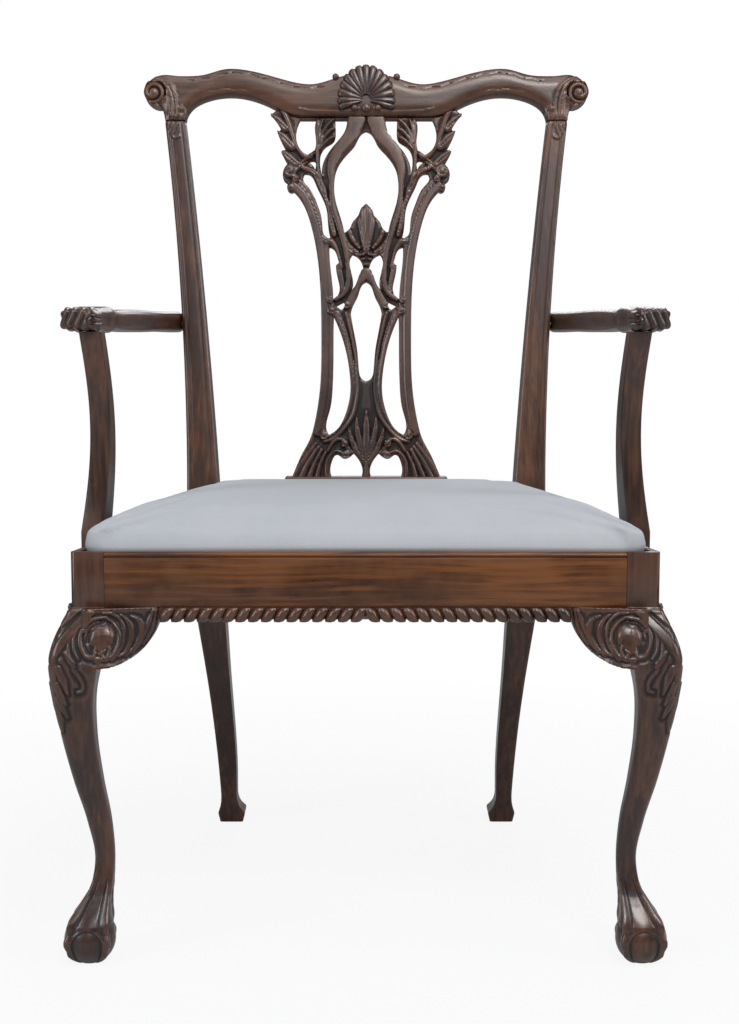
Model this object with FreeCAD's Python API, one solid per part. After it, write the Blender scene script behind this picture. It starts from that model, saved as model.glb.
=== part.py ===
import FreeCAD, Part
import math
import os

# Armchair in the mid eighteenth-century pierced-splat style, millimetres, +Z up.
# It is drawn with Y = 0 at the front rail's face, +Y towards the back, X = 0 on the centre line,
# and moved at the end so that the origin lies under the middle of its box.

V = FreeCAD.Vector

# Seat
SEAT_WIDTH_FRONT = 640.0     # over the front posts
SEAT_WIDTH_REAR = 480.0      # over the rear posts
SEAT_DEPTH = 425.0           # front face to the front of the rear posts
RAIL_TOP = 460.0             # floor to the top of the rails
RAIL_HEIGHT = 60.0
RAIL_THICKNESS = 30.0
LIP = 9.0                    # rim of the rails round the loose seat
REBATE = 16.0                # depth of the ledge that carries it
POST = 37.0                  # front post, square
POST_ROUND = 5.0             # its outer front edge
REAR_POST_WIDTH = 43.0
REAR_POST_DEPTH = 45.0
REAR_RAIL_THICKNESS = 30.0
RAIL_BEAD = 5.0              # bead along the front rail's top edge

# Joints between the timbers
JOINT_GAP = 0.2
TENON_THICKNESS = 8.0
TENON_HEIGHT = 30.0
TENON_ROOT = 2.0             # tenon starts this far inside its rail
TENON_DROP = 8.0             # tenon starts this far above the rail's lower edge
FRONT_TENON = 13.0           # lengths
FRONT_TENON_SETBACK = 10.0   # behind the rail's face
SIDE_TENON_FRONT = 18.0
SIDE_TENON_REAR = 20.0
SIDE_TENON_WALL = 12.0       # wood outside the side tenons
REAR_TENON = 12.0
REAR_TENON_SETBACK = 10.0

# Front leg: height above the floor, swing out along the diagonal, half width, corner radius share.
# The heights are drawn for the rail of the first row and follow the actual one.
LEG_SECTIONS = (
    (400.0, 0.0, 18.4, 0.20),
    (372.0, 8.2, 24.5, 0.30),
    (341.0, 14.0, 27.0, 0.40),
    (305.0, 15.8, 22.6, 0.50),
    (260.0, 12.2, 18.6, 0.58),
    (204.0, 3.7, 15.6, 0.66),
    (156.0, -5.6, 13.1, 0.74),
    (108.0, -10.0, 11.0, 0.84),
    (82.0, -6.8, 12.4, 0.80),
    (62.0, -0.4, 18.0, 0.72),
    (46.0, 4.6, 22.5, 0.70),
)
LEG_DRAWN_HEIGHT = LEG_SECTIONS[0][0]
BALL_RADIUS = 28.5
BALL_SWING = 5.6
BALL_FLAT = 3.5              # cut off at the floor
# Talon: angle from the ball's top, height of its centre over the ball, thickness radius.
TALON_SECTIONS = (
    (24.0, 0.5, 7.0),
    (42.0, 2.4, 7.0),
    (58.0, 3.4, 7.2),
    (76.0, 1.8, 6.2),
    (93.0, 2.8, 6.8),
    (112.0, 1.2, 5.2),
    (132.0, -0.8, 2.6),
)
TALON_SINK = 0.55            # share of a talon's radius inside the ball
TALON_ROUND = 0.8            # corner radius share

# Knee blocks and the lobed strip under the front rail
KNEE_BLOCK_LENGTH = 60.0
KNEE_BLOCK_DROP = 62.0
KNEE_BLOCK_DEPTH = 26.0
KNEE_SWELL = 14.0            # how far the block swells out beside the knee
GADROON_HEIGHT = 16.0
GADROON_DEPTH = 22.0
GADROON_PROUD = 7.0          # in front of the rail
GADROON_LOBES = 16           # on each side of the middle
GADROON_SLANT = 9.0          # sideways run of a lobe over the strip's height
GADROON_SCALLOP = 2.2

# Rear leg and stile: heights, then faces
REAR_FOOT_OUTER = 209.0      # half widths at the floor
REAR_FOOT_INNER = 177.0
REAR_ANKLE_HEIGHT = 53.0
REAR_ANKLE_OUTER = 206.5
REAR_ANKLE_INNER = 184.0
REAR_ANKLE_DEPTH = 29.0
REAR_FOOT_FLARE = 3.0
REAR_FOOT_BAND = 14.0        # height of the flared foot
REAR_SPLAY = 103.0           # the foot lies this far behind the post
REAR_SPLAY_BELLY = 22.0      # sag of the leg's curve
REAR_FOOT_DEPTH = 36.0
BACK_RAKE = 9.0              # degrees
STILE_LENGTH = 530.0         # along the rake, seat to crest
STILE_TOP_OUTER = 273.0
STILE_TOP_WIDTH = 27.0
STILE_TOP_DEPTH = 26.0
STILE_BOW = 8.0              # inward bow of the stile
STILE_TENON = 22.0
STILE_TENON_WIDTH = 12.0
STILE_TENON_DEPTH = 9.0
STILE_TENON_SETBACK = 8.0

# Crest rail
CREST_DEPTH = 26.0
CREST_DROP = 6.5             # its lower edge over the splat lies this far above the stile's end
EAR_RADIUS = 17.5
EAR_EYE_RADIUS = 7.0
EAR_EYE_PROUD = 4.0
EAR_RING = 2.6
SHELL_WIDTH = 78.0
SHELL_HEIGHT = 75.0
SHELL_RIBS = 13
SHELL_FOOT = 14.0            # root of the ribs over the crest's lower edge
SHELL_SPREAD = 112.0         # degrees from upright to the last rib
SHELL_CUSP = 0.94            # reach of the notches between ribs, as a share of the ribs' own
SHELL_GROOVE = 3.4
SHELL_PROUD = 7.0
SHELL_BEAD = 5.0
SHELL_CURL = 4.7             # beads on the top edge beside the shell

# Splat
SPLAT_THICKNESS = 12.0
SPLAT_SETBACK = 6.0          # behind the stile's front
SPLAT_TENON = 14.0
SPLAT_TENON_WIDTH = 190.0
SPLAT_TENON_THICKNESS = 7.0
SPLAT_DRAWN_FOOT = 38.0      # shoe and crest heights for which the pattern is drawn
SPLAT_DRAWN_RISE = 536.5
SPLAT_RELIEF = 2.5           # carved knobs stand this far in front of the board

# Shoe of the splat
SHOE_TOP = 38.0              # above the rail
SHOE_WIDTH = 236.0
SHOE_TOP_WIDTH = 206.0
SHOE_TOP_WALL = 4.0          # wood in front of and behind the splat
SHOE_DEPTH = 30.0
SHOE_PROUD = 0.0

# Arms and their supports
ARM_UNDERSIDE = 697.0
ARM_THICKNESS = 27.0
ARM_WIDTH = 36.0
ARM_BOW = 14.0               # outward bow of the arm over the straight line
ARM_END = 0.75               # share of the width at the stile
ARM_LAP = 26.0               # how far the arm runs back along the stile's side
ARM_TIP_WIDTH = 42.0
ARM_OVERHANG = 34.0          # tip in front of the support
SUPPORT_SETBACK = 118.0      # centre of the support behind the front face
SUPPORT_WIDTH = 25.0
SUPPORT_DEPTH = 36.0
SUPPORT_FOOT_RISE = 6.0      # its lower end above the rail's lower edge
SUPPORT_LEAN = 22.0          # the top leans forward
SUPPORT_BELLY = 12.0         # backward belly of its curve
SUPPORT_WAIST = 8.0          # inward waist of its curve
SUPPORT_PEG = 7.0            # radius of the tenon at its top
SUPPORT_PEG_LENGTH = 12.0

# Screws
SCREW_RADIUS = 2.2
SCREW_HEAD_RADIUS = 4.2
SCREW_HEAD = 3.0
SCREW_GAP = 0.15
SCREW_BITE = 14.0            # length in the second timber
SUPPORT_SCREW_STEP = 20.0
BLOCK_LEG = 58.0             # legs of the corner brackets
BLOCK_HEIGHT = 32.0
BLOCK_DROP = 6.0             # their top below the ledge
BLOCK_SEAT = 12.0            # wood under a screw's head

# Loose seat
SEAT_PLAY = 2.0              # between the covered seat and the rim
SEAT_REST_GAP = 0.3
SEAT_LAYER_GAP = 0.3
SEAT_BAR_WIDTH = 46.0
SEAT_BAR_THICKNESS = 17.0
SEAT_LAP = 8.5
COVER_THICKNESS = 1.5
COVER_SKIRT = 13.0           # how far the cover comes down the bars
WEB_WIDTH = 48.0
WEB_THICKNESS = 1.6
WEB_LONG = 5
WEB_CROSS = 4
WEB_LAP = 30.0               # on the bar
TACK_RADIUS = 3.0
TACK_HEAD = 1.0
TACK_PIN_RADIUS = 0.9
TACK_PIN = 7.0
CROWN = 49.0                 # height of the cushion's middle above the rail
DUST_THICKNESS = 0.8
DUST_INSET = 24.0
CORNER_ROUND = 11.0

# Derived
RAIL_BOTTOM = RAIL_TOP - RAIL_HEIGHT
LEDGE = RAIL_TOP - REBATE
FRONT = SEAT_WIDTH_FRONT / 2
REAR = SEAT_WIDTH_REAR / 2
SIDE_SLOPE = (FRONT - REAR) / SEAT_DEPTH
SIDE_ANGLE = math.degrees(math.atan(SIDE_SLOPE))
SIDE_COS = math.cos(math.radians(SIDE_ANGLE))
RAKE_TAN = math.tan(math.radians(BACK_RAKE))
RAKE_COS = math.cos(math.radians(BACK_RAKE))
CREST_LOW = STILE_LENGTH + CREST_DROP


def line(a, b):
    return Part.LineSegment(a, b).toShape()


def spline(points):
    if len(points) == 2:
        return line(points[0], points[1])
    curve = Part.BSplineCurve()
    curve.interpolate(points)
    return curve.toShape()


def in_plane(plane, p):
    if plane == "xz":
        return V(p[0], 0, p[1])
    if plane == "xy":
        return V(p[0], p[1], 0)
    return V(0, p[0], p[1])


def wire(plane, runs):
    """Closed wire of smooth runs, with a straight edge to a run that starts elsewhere."""
    edges = []
    start = in_plane(plane, runs[0][0])
    last = start
    for run in runs:
        points = [in_plane(plane, p) for p in run]
        if (points[0] - last).Length > 1e-6:
            edges.append(line(last, points[0]))
        else:
            points[0] = last
        if len(points) > 1:
            edges.append(spline(points))
        last = points[-1]
    if (last - start).Length > 1e-6:
        edges.append(line(last, start))
    return Part.Wire(edges)


def prism(plane, runs, low, high):
    """Solid of an outline drawn in a plane, between two distances along the plane's normal."""
    face = Part.Face(wire(plane, runs))
    axis = {"xz": V(0, 1, 0), "xy": V(0, 0, 1), "yz": V(1, 0, 0)}[plane]
    return face.translated(axis * low).extrude(axis * (high - low))


def block(x0, x1, y0, y1, z0, z1):
    return Part.makeBox(x1 - x0, y1 - y0, z1 - z0, V(x0, y0, z0))


def mirrored(shape):
    return shape.mirror(V(0, 0, 0), V(1, 0, 0))


def both(runs):
    """The other half of runs drawn for x >= 0, in order, so that the outline closes."""
    return [[(-x, h) for x, h in reversed(run)] for run in reversed(runs)]


def rounded(centre, u, v, a, b, radius):
    """Rounded rectangle with half sizes a and b along the unit vectors u and v."""
    k = radius * (1 - math.sqrt(0.5))

    def at(p, q):
        return centre + u * p + v * q

    edges = []
    for n in range(4):
        c = math.cos(n * math.pi / 2)
        s = math.sin(n * math.pi / 2)

        def turn(p, q):
            return round(c) * p - round(s) * q, round(s) * p + round(c) * q

        half, side = (a, b) if n % 2 == 0 else (b, a)
        p0 = at(*turn(half, -side + radius))
        p1 = at(*turn(half, side - radius))
        mid = at(*turn(half - k, side - k))
        p2 = at(*turn(half - radius, side))
        edges.append(line(p0, p1))
        edges.append(Part.Arc(p1, mid, p2).toShape())
    return Part.Wire(edges)


def leaning(shape):
    """From the back's own drawing (x, depth, height along the rake) to its place on the seat."""
    placed = shape.copy()
    placed.rotate(V(0, 0, 0), V(1, 0, 0), -BACK_RAKE)
    placed.translate(V(0, SEAT_DEPTH, RAIL_TOP))
    return placed


def side_x(y, inset=0.0):
    """Half width of the seat at a depth, less a thickness square to the side rail."""
    return FRONT - SIDE_SLOPE * y - inset / SIDE_COS


def post_outline():
    return [[(FRONT - POST, 0), (FRONT, 0)], [(FRONT, 0), (side_x(POST), POST)],
            [(side_x(POST), POST), (FRONT - POST, POST)]]


def pocket():
    """Space of the loose seat inside the rim."""
    y0 = LIP
    x0 = side_x(y0, LIP)
    x1 = side_x(SEAT_DEPTH, LIP)
    plan = [[(-x0, y0), (x0, y0)], [(x0, y0), (x1, SEAT_DEPTH)], [(x1, SEAT_DEPTH), (-x1, SEAT_DEPTH)]]
    return prism("xy", plan, LEDGE, RAIL_TOP + REBATE)


def front_tenon(grow):
    y0 = FRONT_TENON_SETBACK
    z0 = RAIL_BOTTOM + TENON_DROP
    x0 = FRONT - POST
    return block(x0 - TENON_ROOT, x0 + FRONT_TENON + grow, y0 - grow, y0 + TENON_THICKNESS + grow,
                 z0 - grow, z0 + TENON_HEIGHT + grow)


def side_front_tenon(grow):
    x1 = side_x(POST) - SIDE_TENON_WALL / 2
    z0 = RAIL_BOTTOM + TENON_DROP
    return block(x1 - TENON_THICKNESS - grow, x1 + grow, POST - SIDE_TENON_FRONT - grow, POST + TENON_ROOT,
                 z0 - grow, z0 + TENON_HEIGHT + grow)


def side_rear_tenon(grow):
    x1 = REAR - SIDE_TENON_WALL
    z0 = RAIL_BOTTOM + TENON_DROP
    return block(x1 - TENON_THICKNESS - grow, x1 + grow, SEAT_DEPTH - TENON_ROOT,
                 SEAT_DEPTH + SIDE_TENON_REAR + grow, z0 - grow, z0 + TENON_HEIGHT + grow)


def rear_tenon(grow):
    x0 = REAR - REAR_POST_WIDTH
    y0 = SEAT_DEPTH + REAR_TENON_SETBACK
    z0 = RAIL_BOTTOM + TENON_DROP
    return block(x0 - TENON_ROOT, x0 + REAR_TENON + grow, y0 - grow, y0 + TENON_THICKNESS + grow,
                 z0 - grow, z0 + TENON_HEIGHT + grow)


def leg_z(z):
    return z * RAIL_BOTTOM / LEG_DRAWN_HEIGHT


def leg_centre(swing):
    return FRONT - POST / 2 + swing, POST / 2 - swing


def leg_shaft(grow):
    """Cabriole form from the rail down to the ball, larger all round by a gap."""
    sections = []
    for z, swing, half, share in LEG_SECTIONS:
        x, y = leg_centre(swing)
        sections.append(rounded(V(x, y, leg_z(z)), V(1, 0, 0), V(0, 1, 0), half + grow, half + grow, half * share))
    return Part.makeLoft(sections, True, False)


def front_leg():
    shaft = leg_shaft(0.0)
    x, y = leg_centre(BALL_SWING)
    middle = V(x, y, BALL_RADIUS - BALL_FLAT)
    foot = shaft.fuse(Part.makeSphere(BALL_RADIUS, middle))
    for n in range(4):
        turn = math.radians(45 + 90 * n)
        out = V(math.cos(turn), math.sin(turn), 0)
        side = V(-math.sin(turn), math.cos(turn), 0)
        rings = []
        for angle, rise, radius in TALON_SECTIONS:
            a = math.radians(angle)
            radial = out * math.sin(a) + V(0, 0, math.cos(a))
            centre = middle + radial * (BALL_RADIUS + rise - radius * TALON_SINK)
            rings.append(rounded(centre, side, radial, radius, radius, radius * TALON_ROUND))
        foot = foot.fuse(Part.makeLoft(rings, True, False))
    foot = foot.cut(block(x - POST * 3, x + POST * 3, y - POST * 3, y + POST * 3, -BALL_RADIUS, 0))
    post = prism("xy", post_outline(), RAIL_BOTTOM, RAIL_TOP)
    corner = [e for e in post.Edges if abs(e.CenterOfMass.x - FRONT) < 0.01 and abs(e.CenterOfMass.y) < 0.01]
    post = post.makeFillet(POST_ROUND, corner)
    leg = foot.fuse(post)
    leg = leg.cut(pocket())
    leg = leg.cut(front_tenon(JOINT_GAP))
    leg = leg.cut(side_front_tenon(JOINT_GAP))
    return leg.removeSplitter()


def front_rail():
    x = FRONT - POST - JOINT_GAP
    bead = RAIL_BEAD
    profile = [[(0, RAIL_BOTTOM), (0, RAIL_TOP - 2.4 * bead)],
               [(bead / 3, RAIL_TOP - 2.2 * bead)], [(bead / 3, RAIL_TOP - 2 * bead)],
               [(0, RAIL_TOP - 1.6 * bead), (0, RAIL_TOP - bead * 0.8), (bead * 0.8, RAIL_TOP)],
               [(RAIL_THICKNESS, RAIL_TOP)], [(RAIL_THICKNESS, RAIL_BOTTOM)]]
    rail = prism("yz", profile, -x, x).cut(pocket())
    tenon = front_tenon(0)
    return rail.fuse([tenon, mirrored(tenon)]).removeSplitter()


def side_rail():
    y0 = POST + JOINT_GAP
    y1 = SEAT_DEPTH - JOINT_GAP
    plan = [[(side_x(y0, RAIL_THICKNESS), y0), (side_x(y0), y0)], [(side_x(y0), y0), (side_x(y1), y1)],
            [(side_x(y1), y1), (side_x(y1, RAIL_THICKNESS), y1)]]
    rail = prism("xy", plan, RAIL_BOTTOM, RAIL_TOP).cut(pocket())
    rail = rail.fuse([side_front_tenon(0), side_rear_tenon(0)]).removeSplitter()
    for hole in support_screw_holes():
        rail = rail.cut(hole)
    for axis, start in block_screws_right():
        rail = rail.cut(screw(start, axis, BLOCK_SEAT + SCREW_BITE, SCREW_GAP))
    return rail


def rear_rail():
    x = REAR - REAR_POST_WIDTH - JOINT_GAP
    rail = block(-x, x, SEAT_DEPTH, SEAT_DEPTH + REAR_RAIL_THICKNESS, RAIL_BOTTOM, RAIL_TOP)
    tenon = rear_tenon(0)
    rail = rail.fuse([tenon, mirrored(tenon)]).removeSplitter()
    for axis, start in block_screws_right():
        hole = screw(start, axis, BLOCK_SEAT + SCREW_BITE, SCREW_GAP)
        rail = rail.cut(hole).cut(mirrored(hole))
    return rail


def front_rail_drilled():
    rail = front_rail()
    for axis, start in block_screws_right():
        hole = screw(start, axis, BLOCK_SEAT + SCREW_BITE, SCREW_GAP)
        rail = rail.cut(hole).cut(mirrored(hole))
    return rail


def stile_faces(h):
    """Outer and inner half widths of the stile at a height along the rake."""
    t = h / STILE_LENGTH
    bow = STILE_BOW * 4 * t * (1 - t)
    outer = REAR + (STILE_TOP_OUTER - REAR) * t - bow
    inner = REAR - REAR_POST_WIDTH + (STILE_TOP_OUTER - STILE_TOP_WIDTH - REAR + REAR_POST_WIDTH) * t - bow / 2
    return outer, inner


def stile_tenon(grow):
    x = STILE_TOP_OUTER - STILE_TOP_WIDTH / 2
    w = STILE_TENON_WIDTH / 2 + grow
    return block(x - w, x + w, STILE_TENON_SETBACK - grow, STILE_TENON_SETBACK + STILE_TENON_DEPTH + grow,
                 STILE_LENGTH - grow - 6, STILE_LENGTH + STILE_TENON + grow)


def rear_leg():
    ankle = REAR_ANKLE_HEIGHT
    band = REAR_FOOT_BAND
    flare = REAR_FOOT_FLARE
    low = RAIL_BOTTOM
    over = STILE_LENGTH * 1.05
    heights = [STILE_LENGTH * k for k in (0.0, 0.25, 0.5, 0.75, 1.0)]
    top = [(stile_faces(h)[0], RAIL_TOP + h * RAKE_COS) for h in heights]
    inside = [(stile_faces(h)[1], RAIL_TOP + h * RAKE_COS) for h in heights]
    tip = RAIL_TOP + over * RAKE_COS
    inner = REAR - REAR_POST_WIDTH
    mid = (low + ankle) / 2
    mid_outer = (REAR + REAR_ANKLE_OUTER) / 2 - 5
    mid_inner = (inner + REAR_ANKLE_INNER) / 2 - 3
    front_view = [
        [(REAR_FOOT_OUTER, 0), (REAR_FOOT_OUTER + flare, band)],
        [(REAR_FOOT_OUTER + flare, band), (REAR_ANKLE_OUTER + 0.6, ankle * 0.6), (REAR_ANKLE_OUTER, ankle),
         (mid_outer, mid), (REAR, low)],
        [(REAR, low), (REAR, RAIL_TOP)], top, [top[-1], (stile_faces(over)[0], tip)],
        [(stile_faces(over)[1], tip)], [inside[-1]], list(reversed(inside)), [(inner, low)],
        [(inner, low), (mid_inner, mid), (REAR_ANKLE_INNER, ankle), (REAR_ANKLE_INNER - 0.6, ankle * 0.6),
         (REAR_FOOT_INNER - flare, band)],
        [(REAR_FOOT_INNER, 0)],
    ]
    y0 = SEAT_DEPTH
    y1 = SEAT_DEPTH + REAR_POST_DEPTH
    foot = y0 + REAR_SPLAY
    bend = y0 + (REAR_SPLAY * (low - ankle) / low) / 2 - REAR_SPLAY_BELLY
    ankle_y = y0 + REAR_SPLAY * (low - ankle * 0.7) / low - 4
    top_y = SEAT_DEPTH + over * RAKE_COS * RAKE_TAN
    side_view = [
        [(foot, 0), (foot - flare, band)],
        [(foot - flare, band), (ankle_y + 4, ankle * 0.62), (ankle_y - 4, ankle), (bend + 4, mid), (y0, low)],
        [(y0, low), (y0, RAIL_TOP)], [(top_y, tip)], [(top_y + STILE_TOP_DEPTH / RAKE_COS, tip)],
        [(top_y + STILE_TOP_DEPTH / RAKE_COS, tip),
         (SEAT_DEPTH + STILE_LENGTH * 0.5 * RAKE_TAN * RAKE_COS + STILE_TOP_DEPTH * 1.12,
          RAIL_TOP + STILE_LENGTH * 0.5 * RAKE_COS),
         (y1, RAIL_TOP)],
        [(y1, low)],
        [(y1, low), (bend + (REAR_POST_DEPTH + REAR_ANKLE_DEPTH) / 2 + 2, mid),
         (ankle_y + REAR_ANKLE_DEPTH - 4, ankle), (ankle_y + REAR_ANKLE_DEPTH + 6, ankle * 0.62),
         (foot + REAR_FOOT_DEPTH + flare, band)],
        [(foot + REAR_FOOT_DEPTH, 0)],
    ]
    depth = REAR_SPLAY + REAR_POST_DEPTH + STILE_LENGTH
    leg = prism("xz", front_view, SEAT_DEPTH - depth, SEAT_DEPTH + depth)
    leg = leg.common(prism("yz", side_view, 0, STILE_TOP_OUTER + REAR))
    above = leaning(block(0, 2 * STILE_TOP_OUTER, -depth, depth, STILE_LENGTH, STILE_LENGTH * 2))
    leg = leg.cut(above)
    leg = leg.fuse(leaning(stile_tenon(0)))
    leg = leg.cut(side_rear_tenon(JOINT_GAP))
    leg = leg.cut(rear_tenon(JOINT_GAP))
    leg = leg.cut(arm_screw(SCREW_GAP))
    return leg.removeSplitter()


def crest_runs():
    """Right half of the crest's outline, from the middle of the lower edge round to the top."""
    s = STILE_TOP_OUTER - STILE_TOP_WIDTH / 2
    w = STILE_TOP_WIDTH / 2
    b = STILE_LENGTH
    r = EAR_RADIUS
    ear = (s + 25, b + 38.5)
    c = CREST_LOW
    return [
        [(0, c), (90, c)],
        [(90, c), (108, c + 4.5), (s - 126.8, b + 23.6), (s - 108.9, b + 30.8), (s - 86.4, b + 35.9),
         (s - 66.2, b + 36.2), (s - 41.4, b + 30.9), (s - 23.5, b + 21.0), (s - w, b)],
        [(s - w, b), (s + w, b)],
        [(s + w, b), (s + w + 1.5, b + 9), (s + 19, ear[1] - r - 2)],
        [(s + 19, ear[1] - r - 2), (ear[0] + r * 0.45, ear[1] - r * 0.89), (ear[0] + r, ear[1]),
         (ear[0] + r * 0.62, ear[1] + r * 0.86), (s + 15, b + 62.8), (s - 1, b + 61.4), (s - 14, b + 61.0),
         (s - 41, b + 63.3), (s - 66, b + 70.4), (s - 84, b + 70.9), (s - 104, b + 67.9), (s - 131, b + 61.0),
         (95, b + 52), (74, b + 50), (58, b + 53), (46, b + 57), (0, b + 58)],
    ]


def crest_blank(low, high):
    runs = crest_runs()
    return prism("xz", runs + both(runs), low, high)


def shell_point(n, share):
    """Point of the fan, n counting ribs from the left, share of the way out from its root."""
    angle = math.radians(SHELL_SPREAD * (2 * n / (SHELL_RIBS - 1) - 1))
    lean = math.cos(angle)
    rise = (SHELL_HEIGHT - SHELL_FOOT) * (lean if lean > 0 else 0.42 * lean)
    return share * SHELL_WIDTH / 2 * math.sin(angle), CREST_LOW + SHELL_FOOT + share * rise


def shell():
    """Fan with a lobed rim and a groove between each two ribs, carved in one with the crest."""
    runs = []
    for n in range(SHELL_RIBS):
        runs.append([shell_point(n - 0.5, SHELL_CUSP), shell_point(n, 1.0), shell_point(n + 0.5, SHELL_CUSP)])
    runs.append([runs[-1][-1], runs[0][0]])
    fan = prism("xz", runs, -SHELL_PROUD, CREST_DEPTH * 0.6)
    for n in range(1, SHELL_RIBS):
        x0, z0 = shell_point(n - 0.5, 0.3)
        x1, z1 = shell_point(n - 0.5, 1.2)
        run = V(x1 - x0, 0, z1 - z0)
        fan = fan.cut(Part.makeCone(SHELL_GROOVE * 0.25, SHELL_GROOVE, run.Length, V(x0, -SHELL_PROUD, z0), run))
    beads = []
    for side in (-1, 1):
        beads.append(Part.makeSphere(SHELL_BEAD, V(side * SHELL_BEAD * 3.2, -SHELL_PROUD * 0.6, CREST_LOW + 7.5)))
        curl = V(side * (SHELL_WIDTH / 2 + 2.5), SHELL_CURL, STILE_LENGTH + 60)
        beads.append(Part.makeSphere(SHELL_CURL, curl))
    return fan.multiFuse(beads)


def crest():
    rail = crest_blank(0, CREST_DEPTH)
    s = STILE_TOP_OUTER - STILE_TOP_WIDTH / 2 + 25
    z = STILE_LENGTH + 38.5
    trims = []
    for side in (-1, 1):
        eye = Part.makeCylinder(EAR_EYE_RADIUS, EAR_EYE_PROUD + CREST_DEPTH / 2,
                                V(side * s, -EAR_EYE_PROUD, z), V(0, 1, 0))
        ring = Part.makeTorus(EAR_RADIUS - EAR_RING, EAR_RING, V(side * s, 0, z), V(0, 1, 0))
        trims += [eye, ring]
    rail = rail.multiFuse(trims + [shell()])
    for tenon in (stile_tenon(JOINT_GAP), mirrored(stile_tenon(JOINT_GAP)), splat_top_tenon(JOINT_GAP)):
        rail = rail.cut(tenon)
    return leaning(rail.removeSplitter())


def splat_top_tenon(grow):
    w = SPLAT_TENON_WIDTH / 2 + grow
    y0 = SPLAT_SETBACK + (SPLAT_THICKNESS - SPLAT_TENON_THICKNESS) / 2
    return block(-w, w, y0 - grow, y0 + SPLAT_TENON_THICKNESS + grow, CREST_LOW - 3 - grow,
                 CREST_LOW + SPLAT_TENON + grow)


def splat_foot_tenon(grow):
    w = SPLAT_TENON_WIDTH / 2 + grow
    y0 = SPLAT_SETBACK + (SPLAT_THICKNESS - SPLAT_TENON_THICKNESS) / 2
    return block(-w, w, y0 - grow, y0 + SPLAT_TENON_THICKNESS + grow, SHOE_TOP - SPLAT_TENON - grow,
                 SHOE_TOP + 2 + grow)


def splat_h(h):
    """Pattern height, drawn for one crest height, moved to the actual one."""
    return SHOE_TOP + (h - SPLAT_DRAWN_FOOT) * (CREST_LOW - SHOE_TOP) / (SPLAT_DRAWN_RISE - SPLAT_DRAWN_FOOT)


def drawn(runs):
    return [[(x, splat_h(h)) for x, h in run] for run in runs]


def splat_edge():
    """Right edge of the board from the shoe up into the crest."""
    runs = drawn([
        [(103, 38), (96, 54), (87.5, 74.5), (76.5, 95), (69, 120), (62, 168), (60.5, 229), (62, 300), (66, 343),
         (76, 392), (85, 416), (98, 433.5)],
        [(98, 433.5), (104, 433), (107.5, 439), (106, 445)],
        [(106, 445), (112, 450), (113.5, 458), (111.5, 466), (107, 472)],
        [(107, 472), (111.5, 480), (115.5, 488)],
        [(115.5, 488), (109.5, 491.5)],
        [(109.5, 491.5), (116, 504), (121, 516)],
        [(121, 516), (115.5, 518.5)],
        [(115.5, 518.5), (121, 529), (130, 539.5)],
    ])
    x, h = runs[-1][-1]
    runs.append([(x, h), (116, CREST_LOW + SPLAT_TENON)])
    return runs


def splat_openings():
    """Openings of the right half, then the two on the centre line."""
    scroll_eye = [[(67, 532), (69, 510), (69.5, 492), (79, 484)],
                  [(79, 484), (90, 491), (95, 504), (95, 518), (90, 532)]]
    leaf_gap = [[(26.5, 532), (30.5, 514), (40, 502), (51, 488), (58, 474.5), (59.7, 453)],
                [(59.7, 453), (63, 474.5), (61, 487.5), (55, 495.5), (44, 503.5), (41.5, 515), (42, 532)]]
    bud_gap = [[(79, 474), (70, 475.5), (69.3, 464)], [(69.3, 464), (73, 470), (79, 474)]]
    upper_slot = [[(84, 458), (75, 456), (68, 443), (60, 426.5), (54, 410), (52, 390), (48.5, 371)],
                  [(48.5, 371), (54, 371), (60, 392.5), (68, 420), (77, 439), (85.5, 450), (84, 458)]]
    middle_slot = [[(50, 357.5), (44, 355), (39.5, 346), (36.5, 336)], [(36.5, 336), (41, 332)],
                   [(41, 332), (40, 322), (37, 309), (36, 300), (39, 291), (44.7, 286)],
                   [(44.7, 286), (47, 317), (49.5, 340), (50, 357.5)]]
    heart_gap = [[(18.5, 347.5), (13, 345), (4, 328.5)], [(4, 328.5), (10, 317.5), (14.5, 305), (21.5, 297.5)],
                 [(21.5, 297.5), (20.6, 324), (21.5, 343), (18.5, 347.5)]]
    tie_gap = [[(41, 277), (30.3, 282.5)], [(30.3, 282.5), (29.5, 276), (34, 272)], [(34, 272), (41, 277)]]
    long_slot = [[(43.8, 262.5), (34, 239), (25.7, 208), (22, 182), (21.3, 161), (27.5, 131), (39.5, 109), (50, 102)],
                 [(50, 102), (54, 112), (49.5, 135), (45.5, 165), (44.3, 216), (43.8, 262.5)]]
    round_gap = [[(44, 42), (9, 42)],
                 [(9, 42), (5, 53), (9, 67), (17, 77)], [(17, 77), (22, 72.5), (28, 70), (34, 72.5)],
                 [(34, 72.5), (41, 75), (46.5, 66), (48.5, 54), (44, 42)]]
    arch = [[(0, 517), (8, 512), (15.5, 498), (24, 488), (40, 465), (43.8, 442), (42, 422.5), (37, 405), (30, 378.5)],
            [(30, 378.5), (22.5, 382), (19.5, 390), (10.5, 402), (7, 411), (0, 415.5)]]
    lower = [[(0, 310), (5, 307), (11.5, 291), (17.5, 279), (21, 267)],
             [(21, 267), (16.8, 243), (12, 216), (10, 191), (6, 178), (0, 175)]]
    sides = [scroll_eye, leaf_gap, bud_gap, upper_slot, middle_slot, heart_gap, tie_gap, long_slot, round_gap]
    return [drawn(runs) for runs in sides], [drawn(arch), drawn(lower)]


SPLAT_KNOBS = ((49, 284, 4.2), (47, 270.5, 5.8), (57, 101, 6.2), (28, 75.5, 5.6), (28.4, 90, 5.0), (74, 486, 4.6),
               (96, 451, 5.2), (103.5, 461, 9.0), (103, 439, 4.4))


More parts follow.
